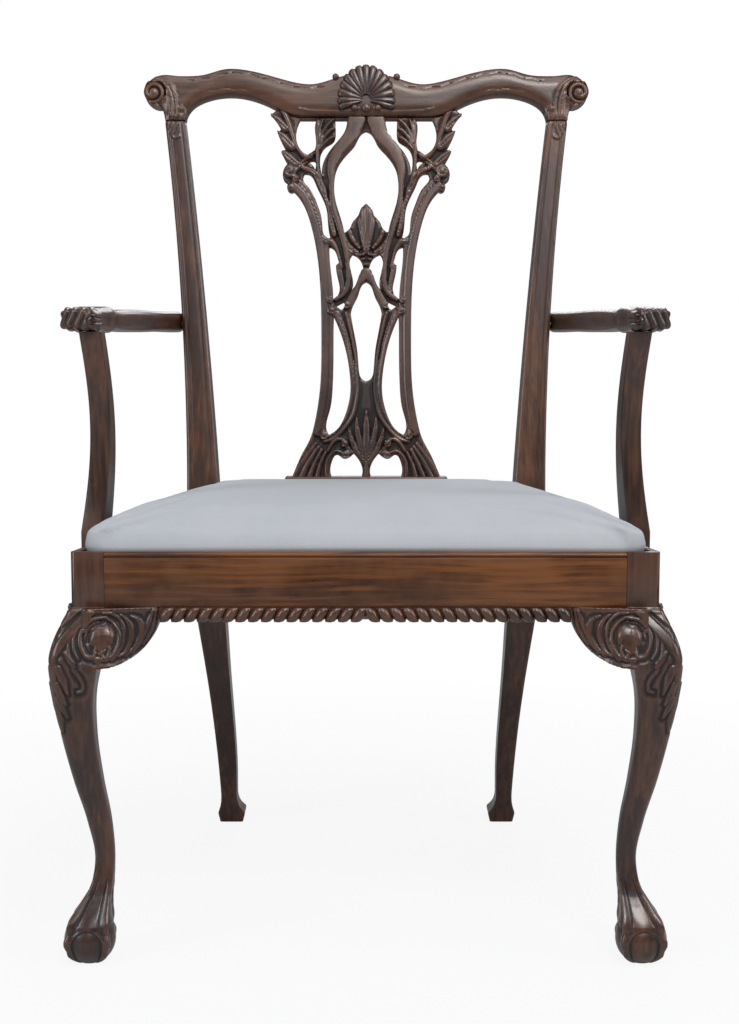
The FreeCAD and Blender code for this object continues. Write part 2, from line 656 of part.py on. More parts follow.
def splat():
    front = SPLAT_SETBACK
    edge = splat_edge()
    side_gaps, middle_gaps = splat_openings()
    loops = [wire("xz", edge + both(edge))]
    for runs in side_gaps:
        loops.append(wire("xz", runs))
        loops.append(wire("xz", both(runs)))
    for runs in middle_gaps:
        loops.append(wire("xz", runs + both(runs)))
    face = Part.makeFace(loops, "Part::FaceMakerBullseye")
    board = face.translated(V(0, front, 0)).extrude(V(0, SPLAT_THICKNESS, 0))
    above = crest_blank(front - SPLAT_THICKNESS, front + 2 * SPLAT_THICKNESS)
    above.translate(V(0, 0, -JOINT_GAP))
    board = board.cut(above)
    over = block(-STILE_TOP_OUTER, STILE_TOP_OUTER, front - SPLAT_THICKNESS, front + 2 * SPLAT_THICKNESS,
                 CREST_LOW + 2 * SPLAT_TENON, 2 * CREST_LOW)
    board = board.cut(over)
    knobs = []
    for x, h, radius in SPLAT_KNOBS:
        knob = Part.makeSphere(radius, V(x, front + radius - SPLAT_RELIEF, splat_h(h)))
        knob = knob.common(block(0, STILE_TOP_OUTER, front - radius, front + SPLAT_THICKNESS / 2, 0, CREST_LOW - 1))
        knobs += [knob, mirrored(knob)]
    board = board.multiFuse(knobs + [splat_top_tenon(0), splat_foot_tenon(0)])
    return leaning(board.removeSplitter())


def shoe():
    y0 = SEAT_DEPTH + SHOE_PROUD
    y1 = y0 + SHOE_DEPTH
    z0 = RAIL_TOP + JOINT_GAP
    seat = leaning(block(-SHOE_WIDTH, SHOE_WIDTH, -POST, POST * 2, SHOE_TOP - JOINT_GAP, SHOE_TOP * 3))
    lean = SHOE_TOP * RAKE_TAN + SEAT_DEPTH
    f = lean + SPLAT_SETBACK / RAKE_COS - SHOE_TOP_WALL
    r = lean + (SPLAT_SETBACK + SPLAT_THICKNESS) / RAKE_COS + SHOE_TOP_WALL
    top = RAIL_TOP + SHOE_TOP + SHOE_TOP_WALL
    side_view = [[(y0, z0), (y0, z0 + 8)], [(y0, z0 + 8), (f - 3, z0 + 20), (f - 1, RAIL_TOP + SHOE_TOP - 8)],
                 [(f - 1, RAIL_TOP + SHOE_TOP - 8), (f - 1.5, RAIL_TOP + SHOE_TOP - 4), (f + 1, top)],
                 [(r + 1, top)], [(r + 1, RAIL_TOP + SHOE_TOP - 8)], [(max(r + 1, y1), z0 + 8)],
                 [(max(r + 1, y1), z0)]]
    w0 = SHOE_WIDTH / 2
    w1 = SHOE_TOP_WIDTH / 2
    half = [[(0, z0), (w0, z0)], [(w0, z0), (w0, z0 + 8)],
            [(w0, z0 + 8), (w1 + 5, z0 + 20), (w1 + 1, RAIL_TOP + SHOE_TOP - 8)],
            [(w1 + 1, RAIL_TOP + SHOE_TOP - 8), (w1 + 2.5, RAIL_TOP + SHOE_TOP - 4), (w1, top)],
            [(w1, top), (0, top)]]
    foot = prism("yz", side_view, -w0, w0).common(prism("xz", half + both(half), y0 - POST, y1 + POST))
    return foot.cut(seat).cut(leaning(splat_foot_tenon(JOINT_GAP))).removeSplitter()


def knee_outline(a, b):
    """Bracket in elevation: along the rail from a towards b, hanging from the rail's lower edge."""
    top = RAIL_BOTTOM - JOINT_GAP
    run = b - a
    drop = KNEE_BLOCK_DROP
    return [[(a, top), (b, top)],
            [(b, top), (b - run * 0.08, top - drop * 0.46), (b - run * 0.36, top - drop * 0.86),
             (b - run * 0.62, top - drop), (a, top - drop * 1.02)]]


def knee_block_front():
    x1 = FRONT - POST / 2
    x0 = FRONT - POST - KNEE_BLOCK_LENGTH
    solid = prism("xz", knee_outline(x1, x0), -POST, KNEE_BLOCK_DEPTH)
    plan = [[(x0, 1.5), (x0 + KNEE_BLOCK_LENGTH * 0.5, -KNEE_SWELL * 0.35), (x1, -KNEE_SWELL)],
            [(x1, KNEE_BLOCK_DEPTH)], [(x0, KNEE_BLOCK_DEPTH)]]
    solid = solid.common(prism("xy", plan, 0, RAIL_TOP))
    return largest(solid.cut(leg_shaft(JOINT_GAP)))


def knee_block_side():
    y1 = POST / 2
    y0 = POST + KNEE_BLOCK_LENGTH
    solid = prism("yz", knee_outline(y1, y0), FRONT - POST * 3, FRONT + POST)
    swell = KNEE_SWELL
    inner = KNEE_BLOCK_DEPTH
    plan = [[(side_x(y0, 1.5), y0), (side_x((y0 + y1) / 2) + swell * 0.35, (y0 + y1) / 2), (side_x(y1) + swell, y1)],
            [(side_x(y1, inner), y1)], [(side_x(y0, inner), y0)]]
    solid = solid.common(prism("xy", plan, 0, RAIL_TOP))
    solid = solid.cut(block(0, FRONT + POST, -POST, KNEE_BLOCK_DEPTH + JOINT_GAP, 0, RAIL_TOP))
    return largest(solid.cut(leg_shaft(JOINT_GAP)))


def largest(shape):
    return max(shape.Solids, key=lambda s: s.Volume)


def gadroon():
    """Strip of slanted lobes, mirrored about the middle one."""
    length = FRONT - POST - KNEE_BLOCK_LENGTH - JOINT_GAP
    z1 = RAIL_BOTTOM - JOINT_GAP
    z0 = z1 - GADROON_HEIGHT
    front = -GADROON_PROUD
    pitch = (length + GADROON_SLANT) / GADROON_LOBES
    bumps = []
    for n in range(GADROON_LOBES):
        a = n * pitch
        bumps.append([(a, front + GADROON_SCALLOP), (a + pitch / 2, front), (a + pitch, front + GADROON_SCALLOP)])
    far = GADROON_LOBES * pitch
    plan = bumps + [[(far, front + GADROON_DEPTH)], [(0, front + GADROON_DEPTH)]]
    face = Part.Face(wire("xy", plan)).translated(V(0, 0, z1))
    lobes = face.extrude(V(-GADROON_SLANT, 0, -GADROON_HEIGHT))
    e = GADROON_HEIGHT
    profile = [[(front + GADROON_DEPTH, z0), (front + e * 0.55, z0)],
               [(front + e * 0.55, z0), (front + e * 0.16, z0 + e * 0.22), (front, z0 + e * 0.62),
                (front + e * 0.12, z1)],
               [(front + GADROON_DEPTH, z1)]]
    half = prism("yz", profile, 0, length).common(lobes)
    half = largest(half.common(block(0, length, front - 1, front + GADROON_DEPTH + 1, z0 - 1, z1 + 1)))
    return half.fuse(mirrored(half)).removeSplitter()


def stations(points):
    """Loft through rounded rectangles: centre, unit tangent, half width, half height, corner radius."""
    wires = []
    for centre, tangent, a, b, radius in points:
        side = tangent.cross(V(0, 0, 1)) if abs(tangent.z) < 0.8 else V(1, 0, 0)
        side = (side - tangent * side.dot(tangent)).normalize()
        up = side.cross(tangent).normalize()
        wires.append(rounded(centre, side, up, a, b, radius))
    return Part.makeLoft(wires, True, False)


def support_x():
    return side_x(SUPPORT_SETBACK) + SUPPORT_WIDTH / 2


def arm_height():
    """Where the arm's middle meets the stile, along the rake."""
    return (ARM_UNDERSIDE + ARM_THICKNESS / 2 - RAIL_TOP) / RAKE_COS


def arm_path(t):
    """Centre of the arm from the support's front (t = 0) to the outer side of the stile (t = 1)."""
    h = arm_height()
    outer, inner = stile_faces(h)
    start_x = support_x() + 5
    start_y = SUPPORT_SETBACK - SUPPORT_LEAN
    end_x = outer + ARM_WIDTH * ARM_END / 2
    end_y = SEAT_DEPTH + h * RAKE_COS * RAKE_TAN + ARM_LAP
    x = start_x + (end_x - start_x) * t
    x += ARM_BOW * math.sin(math.pi * min(max(t, 0.0), 1.0)) * (1 - 0.35 * t)
    y = start_y + (end_y - start_y) * t
    return V(x, y, ARM_UNDERSIDE + ARM_THICKNESS / 2)


def arm_screw(grow):
    """Screw from the inner side of the stile into the arm."""
    h = arm_height()
    outer, inner = stile_faces(h)
    seat = inner + (outer - inner) * 0.4
    clear = outer - inner if grow else 0.0
    d = ARM_LAP * 0.5
    head = Part.makeCylinder(SCREW_HEAD_RADIUS + grow, SCREW_HEAD + grow + clear,
                             V(seat - SCREW_HEAD - clear, d, h), V(1, 0, 0))
    shank = Part.makeCylinder(SCREW_RADIUS + grow, outer + SCREW_BITE - seat + SCREW_HEAD + grow,
                              V(seat - SCREW_HEAD, d, h), V(1, 0, 0))
    return leaning(head.fuse(shank).removeSplitter())


def stile_side(low, high):
    """Room of the stile and what lies inside it, up to its outer face, between two heights."""
    runs = [[(0, low), (stile_faces(low)[0] + JOINT_GAP, low)],
            [(stile_faces(low)[0] + JOINT_GAP, low), (stile_faces(high)[0] + JOINT_GAP, high)],
            [(stile_faces(high)[0] + JOINT_GAP, high), (0, high)]]
    return leaning(prism("xz", runs, -2 * ARM_LAP, 4 * POST))


def arm():
    points = []
    step = 0.01
    length = (arm_path(1.0) - arm_path(0.0)).y
    tip = ARM_OVERHANG / length
    rows = ((-tip, ARM_TIP_WIDTH * 0.30, 0.34), (-tip * 0.86, ARM_TIP_WIDTH * 0.44, 0.44),
            (-tip * 0.45, ARM_TIP_WIDTH * 0.5, 0.5), (0.06, ARM_TIP_WIDTH * 0.47, 0.5), (0.22, ARM_WIDTH * 0.5, 0.5),
            (0.45, ARM_WIDTH * 0.5, 0.5), (0.70, ARM_WIDTH * 0.47, 0.5), (0.90, ARM_WIDTH * ARM_END * 0.54, 0.5),
            (1.06, ARM_WIDTH * ARM_END * 0.52, 0.5))
    for t, half, share in rows:
        tangent = (arm_path(t + step) - arm_path(t - step)).normalize()
        centre = arm_path(t)
        high = ARM_THICKNESS * share
        points.append((centre, tangent, half, high, high * 0.62))
    body = stations(points)
    h = arm_height()
    body = body.cut(leaning(block(0, 2 * FRONT, ARM_LAP, 4 * POST, 0, STILE_LENGTH)))
    body = body.cut(stile_side(h - 2 * ARM_THICKNESS, h + 2 * ARM_THICKNESS))
    seat = support_top()
    body = body.cut(block(seat.x - SUPPORT_DEPTH, seat.x + SUPPORT_DEPTH, seat.y - SUPPORT_DEPTH,
                          seat.y + SUPPORT_DEPTH, ARM_UNDERSIDE - ARM_THICKNESS, ARM_UNDERSIDE))
    peg = Part.makeCylinder(SUPPORT_PEG + JOINT_GAP, SUPPORT_PEG_LENGTH + 2 * JOINT_GAP,
                            V(seat.x, seat.y, ARM_UNDERSIDE - JOINT_GAP), V(0, 0, 1))
    return largest(body.cut(peg).cut(arm_screw(SCREW_GAP)))


def support_top():
    return V(support_x() - 3, SUPPORT_SETBACK - SUPPORT_LEAN, ARM_UNDERSIDE - JOINT_GAP)


def support():
    """Serpentine post lapped on the outside of the side rail."""
    top = support_top()
    z0 = RAIL_BOTTOM + SUPPORT_FOOT_RISE
    z1 = RAIL_TOP + POST / 4
    a = math.radians(SIDE_ANGLE)
    along = V(-math.sin(a), math.cos(a), 0)
    out = V(math.cos(a), math.sin(a), 0)
    foot = V(side_x(SUPPORT_SETBACK, -JOINT_GAP), SUPPORT_SETBACK, 0) + out * (SUPPORT_WIDTH / 2)
    half_w = SUPPORT_WIDTH / 2
    half_d = SUPPORT_DEPTH / 2
    rise = top.z - z1
    wires = []
    rows = ((z0, 0.0), (z0 + (z1 - z0) * 0.5, 0.0), (z1, 0.0), (z1 + rise * 0.3, 0.3), (z1 + rise * 0.62, 0.62),
            (z1 + rise * 0.86, 0.86), (top.z, 1.0))
    for z, t in rows:
        centre = foot + (top - foot) * t
        centre.z = z
        centre.y += SUPPORT_BELLY * math.sin(math.pi * t)
        centre.x -= SUPPORT_WAIST * math.sin(math.pi * t)
        turn = 1 - t
        u = (out * turn + V(1, 0, 0) * t).normalize()
        v = V(-u.y, u.x, 0)
        slim = 1 - 0.16 * math.sin(math.pi * t)
        wires.append(rounded(centre, u, v, half_w * (1 - 0.06 * math.sin(math.pi * t)), half_d * slim,
                             half_w * (0.2 + 0.25 * t)))
    straight = Part.makeLoft(wires[:3], True, True)
    curved = Part.makeLoft(wires[2:], True, False)
    post = straight.fuse(curved)
    peg = Part.makeCylinder(SUPPORT_PEG, SUPPORT_PEG_LENGTH + JOINT_GAP, top, V(0, 0, 1))
    post = post.fuse(peg)
    for hole in support_screw_holes():
        post = post.cut(hole)
    return post.removeSplitter()


def screw(start, axis, length, grow=0.0):
    """Round-headed screw: head from start back along the axis, shank forward."""
    reach = RAIL_THICKNESS * 2 if grow else SCREW_HEAD
    head = Part.makeCylinder(SCREW_HEAD_RADIUS + grow, reach, start - axis * reach, axis)
    shank = Part.makeCylinder(SCREW_RADIUS + grow, length + grow, start, axis)
    return head.fuse(shank).removeSplitter()


def support_screw_places():
    a = math.radians(SIDE_ANGLE)
    out = V(math.cos(a), math.sin(a), 0)
    bury = RAIL_THICKNESS - BLOCK_SEAT
    for n in range(2):
        z = RAIL_BOTTOM + SUPPORT_FOOT_RISE + 10 + SUPPORT_SCREW_STEP * n
        face = V(side_x(SUPPORT_SETBACK), SUPPORT_SETBACK, z)
        yield out, face - out * (RAIL_THICKNESS - bury)


def support_screw_holes():
    return [screw(start, axis, BLOCK_SEAT + SCREW_BITE, SCREW_GAP) for axis, start in support_screw_places()]


def block_plans():
    """Plans of the right front and right rear corner brackets."""
    g = JOINT_GAP
    x = FRONT - POST - g
    y = RAIL_THICKNESS + g
    leg = BLOCK_LEG
    y2 = POST + leg
    front = [(x - leg, y), (x, y), (x, POST + g), (side_x(POST + g, RAIL_THICKNESS + g), POST + g),
             (side_x(y2, RAIL_THICKNESS + g), y2)]
    yr = SEAT_DEPTH - g
    rear = [(side_x(yr, RAIL_THICKNESS + g), yr), (side_x(yr, RAIL_THICKNESS + g) - leg, yr),
            (side_x(yr - leg, RAIL_THICKNESS + g), yr - leg)]
    return front, rear


def block_screws_right():
    """Axis and head seat of the screws of the two right brackets."""
    z = LEDGE - BLOCK_DROP - BLOCK_HEIGHT / 2
    a = math.radians(SIDE_ANGLE)
    out = V(math.cos(a), math.sin(a), 0)
    g = JOINT_GAP
    x = FRONT - POST - g
    yield V(0, -1, 0), V(x - BLOCK_LEG * 0.42, RAIL_THICKNESS + g + BLOCK_SEAT, z)
    y = POST + BLOCK_LEG * 0.62
    yield out, V(side_x(y, RAIL_THICKNESS), y, z + BLOCK_HEIGHT * 0.2) - out * BLOCK_SEAT
    yr = SEAT_DEPTH - g
    edge = side_x(yr, RAIL_THICKNESS + g)
    yield V(0, 1, 0), V(edge - BLOCK_LEG * 0.55, yr - BLOCK_SEAT, z)
    y = yr - BLOCK_LEG * 0.55
    yield out, V(side_x(y, RAIL_THICKNESS), y, z + BLOCK_HEIGHT * 0.2) - out * BLOCK_SEAT


def corner_block(number):
    top = LEDGE - BLOCK_DROP
    points = block_plans()[number]
    runs = [[points[n], points[(n + 1) % len(points)]] for n in range(len(points))]
    solid = prism("xy", runs, top - BLOCK_HEIGHT, top)
    for axis, start in block_screws_right():
        solid = solid.cut(screw(start, axis, BLOCK_SEAT + SCREW_BITE, SCREW_GAP))
    return largest(solid)


def seat_corners(inset):
    """Corners of the loose seat, inside its pocket by the play and an inset."""
    i = SEAT_PLAY + inset
    y0 = LIP + i
    y1 = SEAT_DEPTH - i
    x0 = side_x(y0, LIP + i)
    x1 = side_x(y1, LIP + i)
    return [V(-x0, y0, 0), V(x0, y0, 0), V(x1, y1, 0), V(-x1, y1, 0)]


def seat_wire(inset, z, radius):
    """Rounded trapezium at a height."""
    corners = seat_corners(inset)
    edges = []
    tangents = []
    for n, p in enumerate(corners):
        a = (corners[n - 1] - p).normalize()
        b = (corners[(n + 1) % 4] - p).normalize()
        half = math.acos(a.dot(b)) / 2
        cut = radius / math.tan(half)
        middle = (a + b).normalize()
        deep = radius / math.sin(half) - radius
        tangents.append((p + a * cut, p + middle * deep, p + b * cut))
    lift = V(0, 0, z)
    for n in range(4):
        p, q, r = tangents[n]
        edges.append(Part.Arc(p + lift, q + lift, r + lift).toShape())
        edges.append(line(r + lift, tangents[(n + 1) % 4][0] + lift))
    return Part.Wire(edges)


def dome(shrink, low):
    """Crowned cushion body, smaller all round by a thickness, standing on a level."""
    rows = ((0.00, 0.6, 14), (0.42, 1.2, 15), (0.73, 14.0, 20), (0.86, 34.0, 28), (0.94, 58.0, 34), (0.98, 85.0, 38),
            (1.0, 115.0, 40))
    base = RAIL_TOP
    wires = [seat_wire(shrink + 0.6, low, CORNER_ROUND)]
    for share, inset, radius in rows:
        z = base + CROWN * share - shrink * share
        wires.append(seat_wire(inset + shrink, z, CORNER_ROUND * radius / rows[0][2]))
    bottom = Part.makeLoft(wires[:2], True, True)
    return bottom.fuse(Part.makeLoft(wires[1:], True, False)).removeSplitter()


BAR_LOW = LEDGE + SEAT_REST_GAP
BAR_TOP = BAR_LOW + SEAT_BAR_THICKNESS
WEB_TOP = BAR_TOP + 2 * WEB_THICKNESS


def seat_cover():
    low = BAR_TOP - COVER_SKIRT
    return dome(0.0, low).cut(dome(COVER_THICKNESS, low - COVER_THICKNESS))


def seat_padding():
    low = WEB_TOP + TACK_HEAD + SEAT_LAYER_GAP
    return dome(COVER_THICKNESS + SEAT_LAYER_GAP, RAIL_TOP - CROWN).cut(
        block(-FRONT, FRONT, -POST, SEAT_DEPTH + POST, 0, low))


def bar_inset():
    return COVER_THICKNESS + SEAT_LAYER_GAP + 0.6


def seat_bars():
    """Front, rear, left and right bars, half-lapped at the corners."""
    outer = seat_corners(bar_inset())
    inner = seat_corners(bar_inset() + SEAT_BAR_WIDTH)
    mid = BAR_LOW + SEAT_BAR_THICKNESS - SEAT_LAP
    y0, y1 = outer[0].y, outer[2].y
    whole = prism("xy", [[(p.x, p.y) for p in (outer[n], outer[(n + 1) % 4])] for n in range(4)], BAR_LOW, BAR_TOP)
    opening = prism("xy", [[(p.x, p.y) for p in (inner[n], inner[(n + 1) % 4])] for n in range(4)],
                    BAR_LOW - 1, BAR_TOP + 1)
    edges = [e for e in whole.Edges if abs(e.Vertexes[0].Z - e.Vertexes[1].Z) > 1]
    frame = whole.makeFillet(CORNER_ROUND, edges).cut(opening)
    g = JOINT_GAP / 2
    wide = FRONT * 2
    front_zone = block(-wide, wide, 0, inner[0].y, BAR_LOW - 1, BAR_TOP + 1)
    rear_zone = block(-wide, wide, inner[2].y, SEAT_DEPTH, BAR_LOW - 1, BAR_TOP + 1)

    def side_zone(sign):
        a, b = (inner[1], inner[2])
        k = (a.x - b.x) / (b.y - a.y)
        xa = a.x + k * (a.y - y0)
        xb = b.x - k * (y1 - b.y)
        plan = [(xa, y0), (xa + POST * 2, y0), (xb + POST * 2, y1), (xb, y1)]
        plan = [(sign * x, y) for x, y in plan]
        return prism("xy", [[plan[n], plan[(n + 1) % 4]] for n in range(4)], BAR_LOW - 1, BAR_TOP + 1)

    lower = block(-wide, wide, 0, SEAT_DEPTH, BAR_LOW - 2, mid + g)
    upper = block(-wide, wide, 0, SEAT_DEPTH, mid - g, BAR_TOP + 2)
    left, right = side_zone(-1), side_zone(1)
    bars = {}
    for name, zone in (("front", front_zone), ("rear", rear_zone)):
        bar = frame.common(zone)
        for side in (left, right):
            bar = bar.cut(side.common(lower))
        bars[name] = bar
    for name, zone in (("left", left), ("right", right)):
        bar = frame.common(zone)
        for cross in (front_zone, rear_zone):
            bar = bar.cut(cross.common(upper))
        bars[name] = bar
    shifted = seat_bar_shoulders(bars, inner)
    return shifted


def seat_bar_shoulders(bars, inner):
    """Opens the shoulders of the laps by the joint gap."""
    g = JOINT_GAP
    wide = FRONT * 2
    y0, y1 = inner[0].y, inner[2].y
    strip_front = block(-wide, wide, y0 - g, y0 + g, BAR_LOW + SEAT_BAR_THICKNESS - SEAT_LAP, BAR_TOP + 1)
    strip_rear = block(-wide, wide, y1 - g, y1 + g, BAR_LOW + SEAT_BAR_THICKNESS - SEAT_LAP, BAR_TOP + 1)
    for name in ("left", "right"):
        bars[name] = bars[name].cut(strip_front).cut(strip_rear)
    k = (inner[1].x - inner[2].x) / (inner[2].y - inner[1].y)
    for name in ("front", "rear"):
        for sign in (-1, 1):
            plan = []
            for y, shift in ((0, -g), (0, g), (SEAT_DEPTH, g), (SEAT_DEPTH, -g)):
                plan.append((sign * (inner[1].x + k * (inner[1].y - y) + shift), y))
            strip = prism("xy", [[plan[n], plan[(n + 1) % 4]] for n in range(4)], BAR_LOW - 1,
                          BAR_LOW + SEAT_BAR_THICKNESS - SEAT_LAP)
            bars[name] = bars[name].cut(strip)
    return {name: largest(bar) for name, bar in bars.items()}


def spread(count, room):
    """Centres of equal straps over a width."""
    step = room / count
    return [-room / 2 + step * (n + 0.5) for n in range(count)]


def web_long():
    """Straps from front to back."""
    inner = seat_corners(bar_inset() + SEAT_BAR_WIDTH)
    y0 = inner[0].y - WEB_LAP
    y1 = inner[2].y + WEB_LAP
    straps = []
    for x in spread(WEB_LONG, inner[2].x * 2):
        straps.append(block(x - WEB_WIDTH / 2, x + WEB_WIDTH / 2, y0, y1, BAR_TOP, BAR_TOP + WEB_THICKNESS))
    return straps


def web_cross():
    """Straps from side to side, laid over the others and down on the side bars."""
    inner = seat_corners(bar_inset() + SEAT_BAR_WIDTH)
    y_mid = (inner[0].y + inner[2].y) / 2
    k = (inner[1].x - inner[2].x) / (inner[2].y - inner[1].y)
    straps = []
    z0 = BAR_TOP + WEB_THICKNESS
    for dy in spread(WEB_CROSS, inner[2].y - inner[0].y):
        y = y_mid + dy
        x = inner[1].x + k * (inner[1].y - y)
        last = spread(WEB_LONG, inner[2].x * 2)[-1] + WEB_WIDTH / 2
        strap = block(-x - WEB_LAP, x + WEB_LAP, y - WEB_WIDTH / 2, y + WEB_WIDTH / 2, z0, z0 + WEB_THICKNESS)
        pads = []
        for sign in (-1, 1):
            a, b = sorted((sign * (max(x, last) + 2), sign * (x + WEB_LAP)))
            pads.append(block(a, b, y - WEB_WIDTH / 2, y + WEB_WIDTH / 2, BAR_TOP, z0))
        straps.append(strap.fuse(pads).removeSplitter())
    return straps


def tack_places():
    """Tops of the straps' ends, on the bars."""
    inner = seat_corners(bar_inset() + SEAT_BAR_WIDTH)
    places = []
    for x in spread(WEB_LONG, inner[2].x * 2):
        for y in (inner[0].y - WEB_LAP * 0.6, inner[2].y + WEB_LAP * 0.6):
            for dx in (-WEB_WIDTH * 0.3, WEB_WIDTH * 0.3):
                places.append(V(x + dx, y, BAR_TOP + WEB_THICKNESS))
    y_mid = (inner[0].y + inner[2].y) / 2
    k = (inner[1].x - inner[2].x) / (inner[2].y - inner[1].y)
    for dy in spread(WEB_CROSS, inner[2].y - inner[0].y):
        y = y_mid + dy
        x = inner[1].x + k * (inner[1].y - y) + WEB_LAP * 0.6
        for sign in (-1, 1):
            for step in (-WEB_WIDTH * 0.3, WEB_WIDTH * 0.3):
                places.append(V(sign * x, y + step, WEB_TOP))
    return places


def tack(place, grow=0.0):
    head = Part.makeCylinder(TACK_RADIUS + grow, TACK_HEAD, place)
    pin = Part.makeCylinder(TACK_PIN_RADIUS + grow, TACK_PIN + grow, place - V(0, 0, TACK_PIN + grow))
    return head.fuse(pin).removeSplitter()


def tack_holes():
    return Part.makeCompound([Part.makeCylinder(TACK_PIN_RADIUS + JOINT_GAP / 2, TACK_PIN + JOINT_GAP,
                                                p - V(0, 0, TACK_PIN + JOINT_GAP)) for p in tack_places()])


def dust_cover():
    top = BAR_LOW
    corners = seat_corners(DUST_INSET)
    return prism("xy", [[(p.x, p.y) for p in (corners[n], corners[(n + 1) % 4])] for n in range(4)],
                 top - DUST_THICKNESS, top)


def build():
    parts = {}

    def pair(name, right):
        parts[name + "_right"] = right
        parts[name + "_left"] = mirrored(right)

    pair("front_leg", front_leg())
    pair("rear_leg", rear_leg())
    parts["front_seat_rail"] = front_rail_drilled()
    parts["rear_seat_rail"] = rear_rail()
    pair("side_seat_rail", side_rail())
    pair("knee_block_front", knee_block_front())
    pair("knee_block_side", knee_block_side())
    parts["gadroon_moulding"] = gadroon()
    pair("corner_block_front", corner_block(0))
    pair("corner_block_rear", corner_block(1))
    screws = [screw(start, axis, BLOCK_SEAT + SCREW_BITE) for axis, start in block_screws_right()]
    parts["corner_block_screws"] = Part.makeCompound(screws + [mirrored(s) for s in screws])
    parts["crest_rail"] = crest()
    parts["splat"] = splat()
    parts["splat_shoe"] = shoe()
    pair("arm", arm())
    pair("arm_support", support())
    screws = [screw(start, axis, BLOCK_SEAT + SCREW_BITE) for axis, start in support_screw_places()]
    parts["arm_support_screws"] = Part.makeCompound(screws + [mirrored(s) for s in screws])
    parts["arm_screws"] = Part.makeCompound([arm_screw(0.0), mirrored(arm_screw(0.0))])
    holes = tack_holes()
    for name, bar in seat_bars().items():
        parts["seat_frame_" + name] = bar.cut(holes)
    parts["seat_webbing_long"] = Part.makeCompound([s.cut(holes) for s in web_long()])
    parts["seat_webbing_cross"] = Part.makeCompound([s.cut(holes) for s in web_cross()])
    parts["seat_tacks"] = Part.makeCompound([tack(p) for p in tack_places()])
    parts["seat_padding"] = seat_padding()
    parts["seat_cover"] = seat_cover()
    parts["dust_cover"] = dust_cover()
    return parts


def main():
    parts = build()
    everything = Part.makeCompound(list(parts.values()))
    box = everything.optimalBoundingBox(True, False)
    shift = V(-(box.XMin + box.XMax) / 2, -(box.YMin + box.YMax) / 2, -box.ZMin)
    os.makedirs("parts", exist_ok=True)
    for name, shape in parts.items():
        placed = shape.copy()
        placed.translate(shift)
        placed.exportStep("parts/%s.step" % name)
        print("%-26s solids %2d valid %s volume %.0f" % (name, len(shape.Solids), shape.isValid(), shape.Volume))
    print("size %.1f x %.1f x %.1f, moved by %.2f in depth" % (box.XLength, box.YLength, box.ZLength, shift.y))


main()
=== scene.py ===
import math

import bmesh
import bpy
import numpy as np
from mathutils import Matrix, Vector, geometry, kdtree
from mathutils.bvhtree import BVHTree


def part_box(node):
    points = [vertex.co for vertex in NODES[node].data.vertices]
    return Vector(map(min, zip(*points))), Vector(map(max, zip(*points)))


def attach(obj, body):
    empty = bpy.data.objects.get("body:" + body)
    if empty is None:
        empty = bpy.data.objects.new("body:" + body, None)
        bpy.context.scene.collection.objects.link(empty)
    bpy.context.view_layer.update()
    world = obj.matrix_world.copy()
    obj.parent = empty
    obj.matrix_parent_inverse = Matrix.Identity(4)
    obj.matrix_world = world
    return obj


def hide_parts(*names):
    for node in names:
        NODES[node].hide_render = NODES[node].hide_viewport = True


# Armchair with a pierced and carved back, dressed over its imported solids.
# Design sizes are millimetres; meshes are metres, in the frame of the solids.

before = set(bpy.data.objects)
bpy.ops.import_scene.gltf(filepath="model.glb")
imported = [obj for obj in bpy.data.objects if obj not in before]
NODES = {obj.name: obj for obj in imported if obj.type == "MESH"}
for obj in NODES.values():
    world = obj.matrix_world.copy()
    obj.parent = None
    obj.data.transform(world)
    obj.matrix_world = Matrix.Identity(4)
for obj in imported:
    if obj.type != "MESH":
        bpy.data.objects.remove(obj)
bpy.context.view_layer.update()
MM = 0.001

# The leaning back: x, depth behind the stiles' front, height along the rake from the seat rail's top
BACK_RAKE = math.radians(9.0)
BACK_SIN = math.sin(BACK_RAKE)
BACK_COS = math.cos(BACK_RAKE)
BACK_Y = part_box("rear_seat_rail")[0].y / MM
BACK_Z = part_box("rear_seat_rail")[1].z / MM


def to_back(points):
    """Places in the leaning back, in millimetres, of points in metres."""
    y = points[:, 1] / MM - BACK_Y
    z = points[:, 2] / MM - BACK_Z
    return np.column_stack((points[:, 0] / MM, y * BACK_COS - z * BACK_SIN, y * BACK_SIN + z * BACK_COS))


def from_back(points):
    """Points in metres of places in the leaning back."""
    x, d, h = np.asarray(points, float).T
    y = BACK_Y + h * BACK_SIN + d * BACK_COS
    z = BACK_Z + h * BACK_COS - d * BACK_SIN
    return np.column_stack((x, y, z)) * MM


# Small helpers

def smooth(a, b, v):
    """Soft step from 0 at a to 1 at b."""
    t = np.clip((np.asarray(v, float) - a) / (b - a), 0, 1)
    return t * t * (3 - 2 * t)


def bell(v, width):
    return np.exp(-(np.asarray(v, float) / width) ** 2)


def coords(mesh):
    co = np.empty(len(mesh.vertices) * 3)
    mesh.vertices.foreach_get("co", co)
    return co.reshape(-1, 3)


def normals(mesh):
    no = np.empty(len(mesh.vertices) * 3, np.float32)
    mesh.vertex_normals.foreach_get("vector", no)
    return no.reshape(-1, 3).astype(float)


def set_coords(mesh, co):
    mesh.vertices.foreach_set("co", np.asarray(co, np.float32).ravel())
    mesh.update()


def edges_of(mesh):
    e = np.empty(len(mesh.edges) * 2, np.int32)
    mesh.edges.foreach_get("vertices", e)
    return e.reshape(-1, 2)


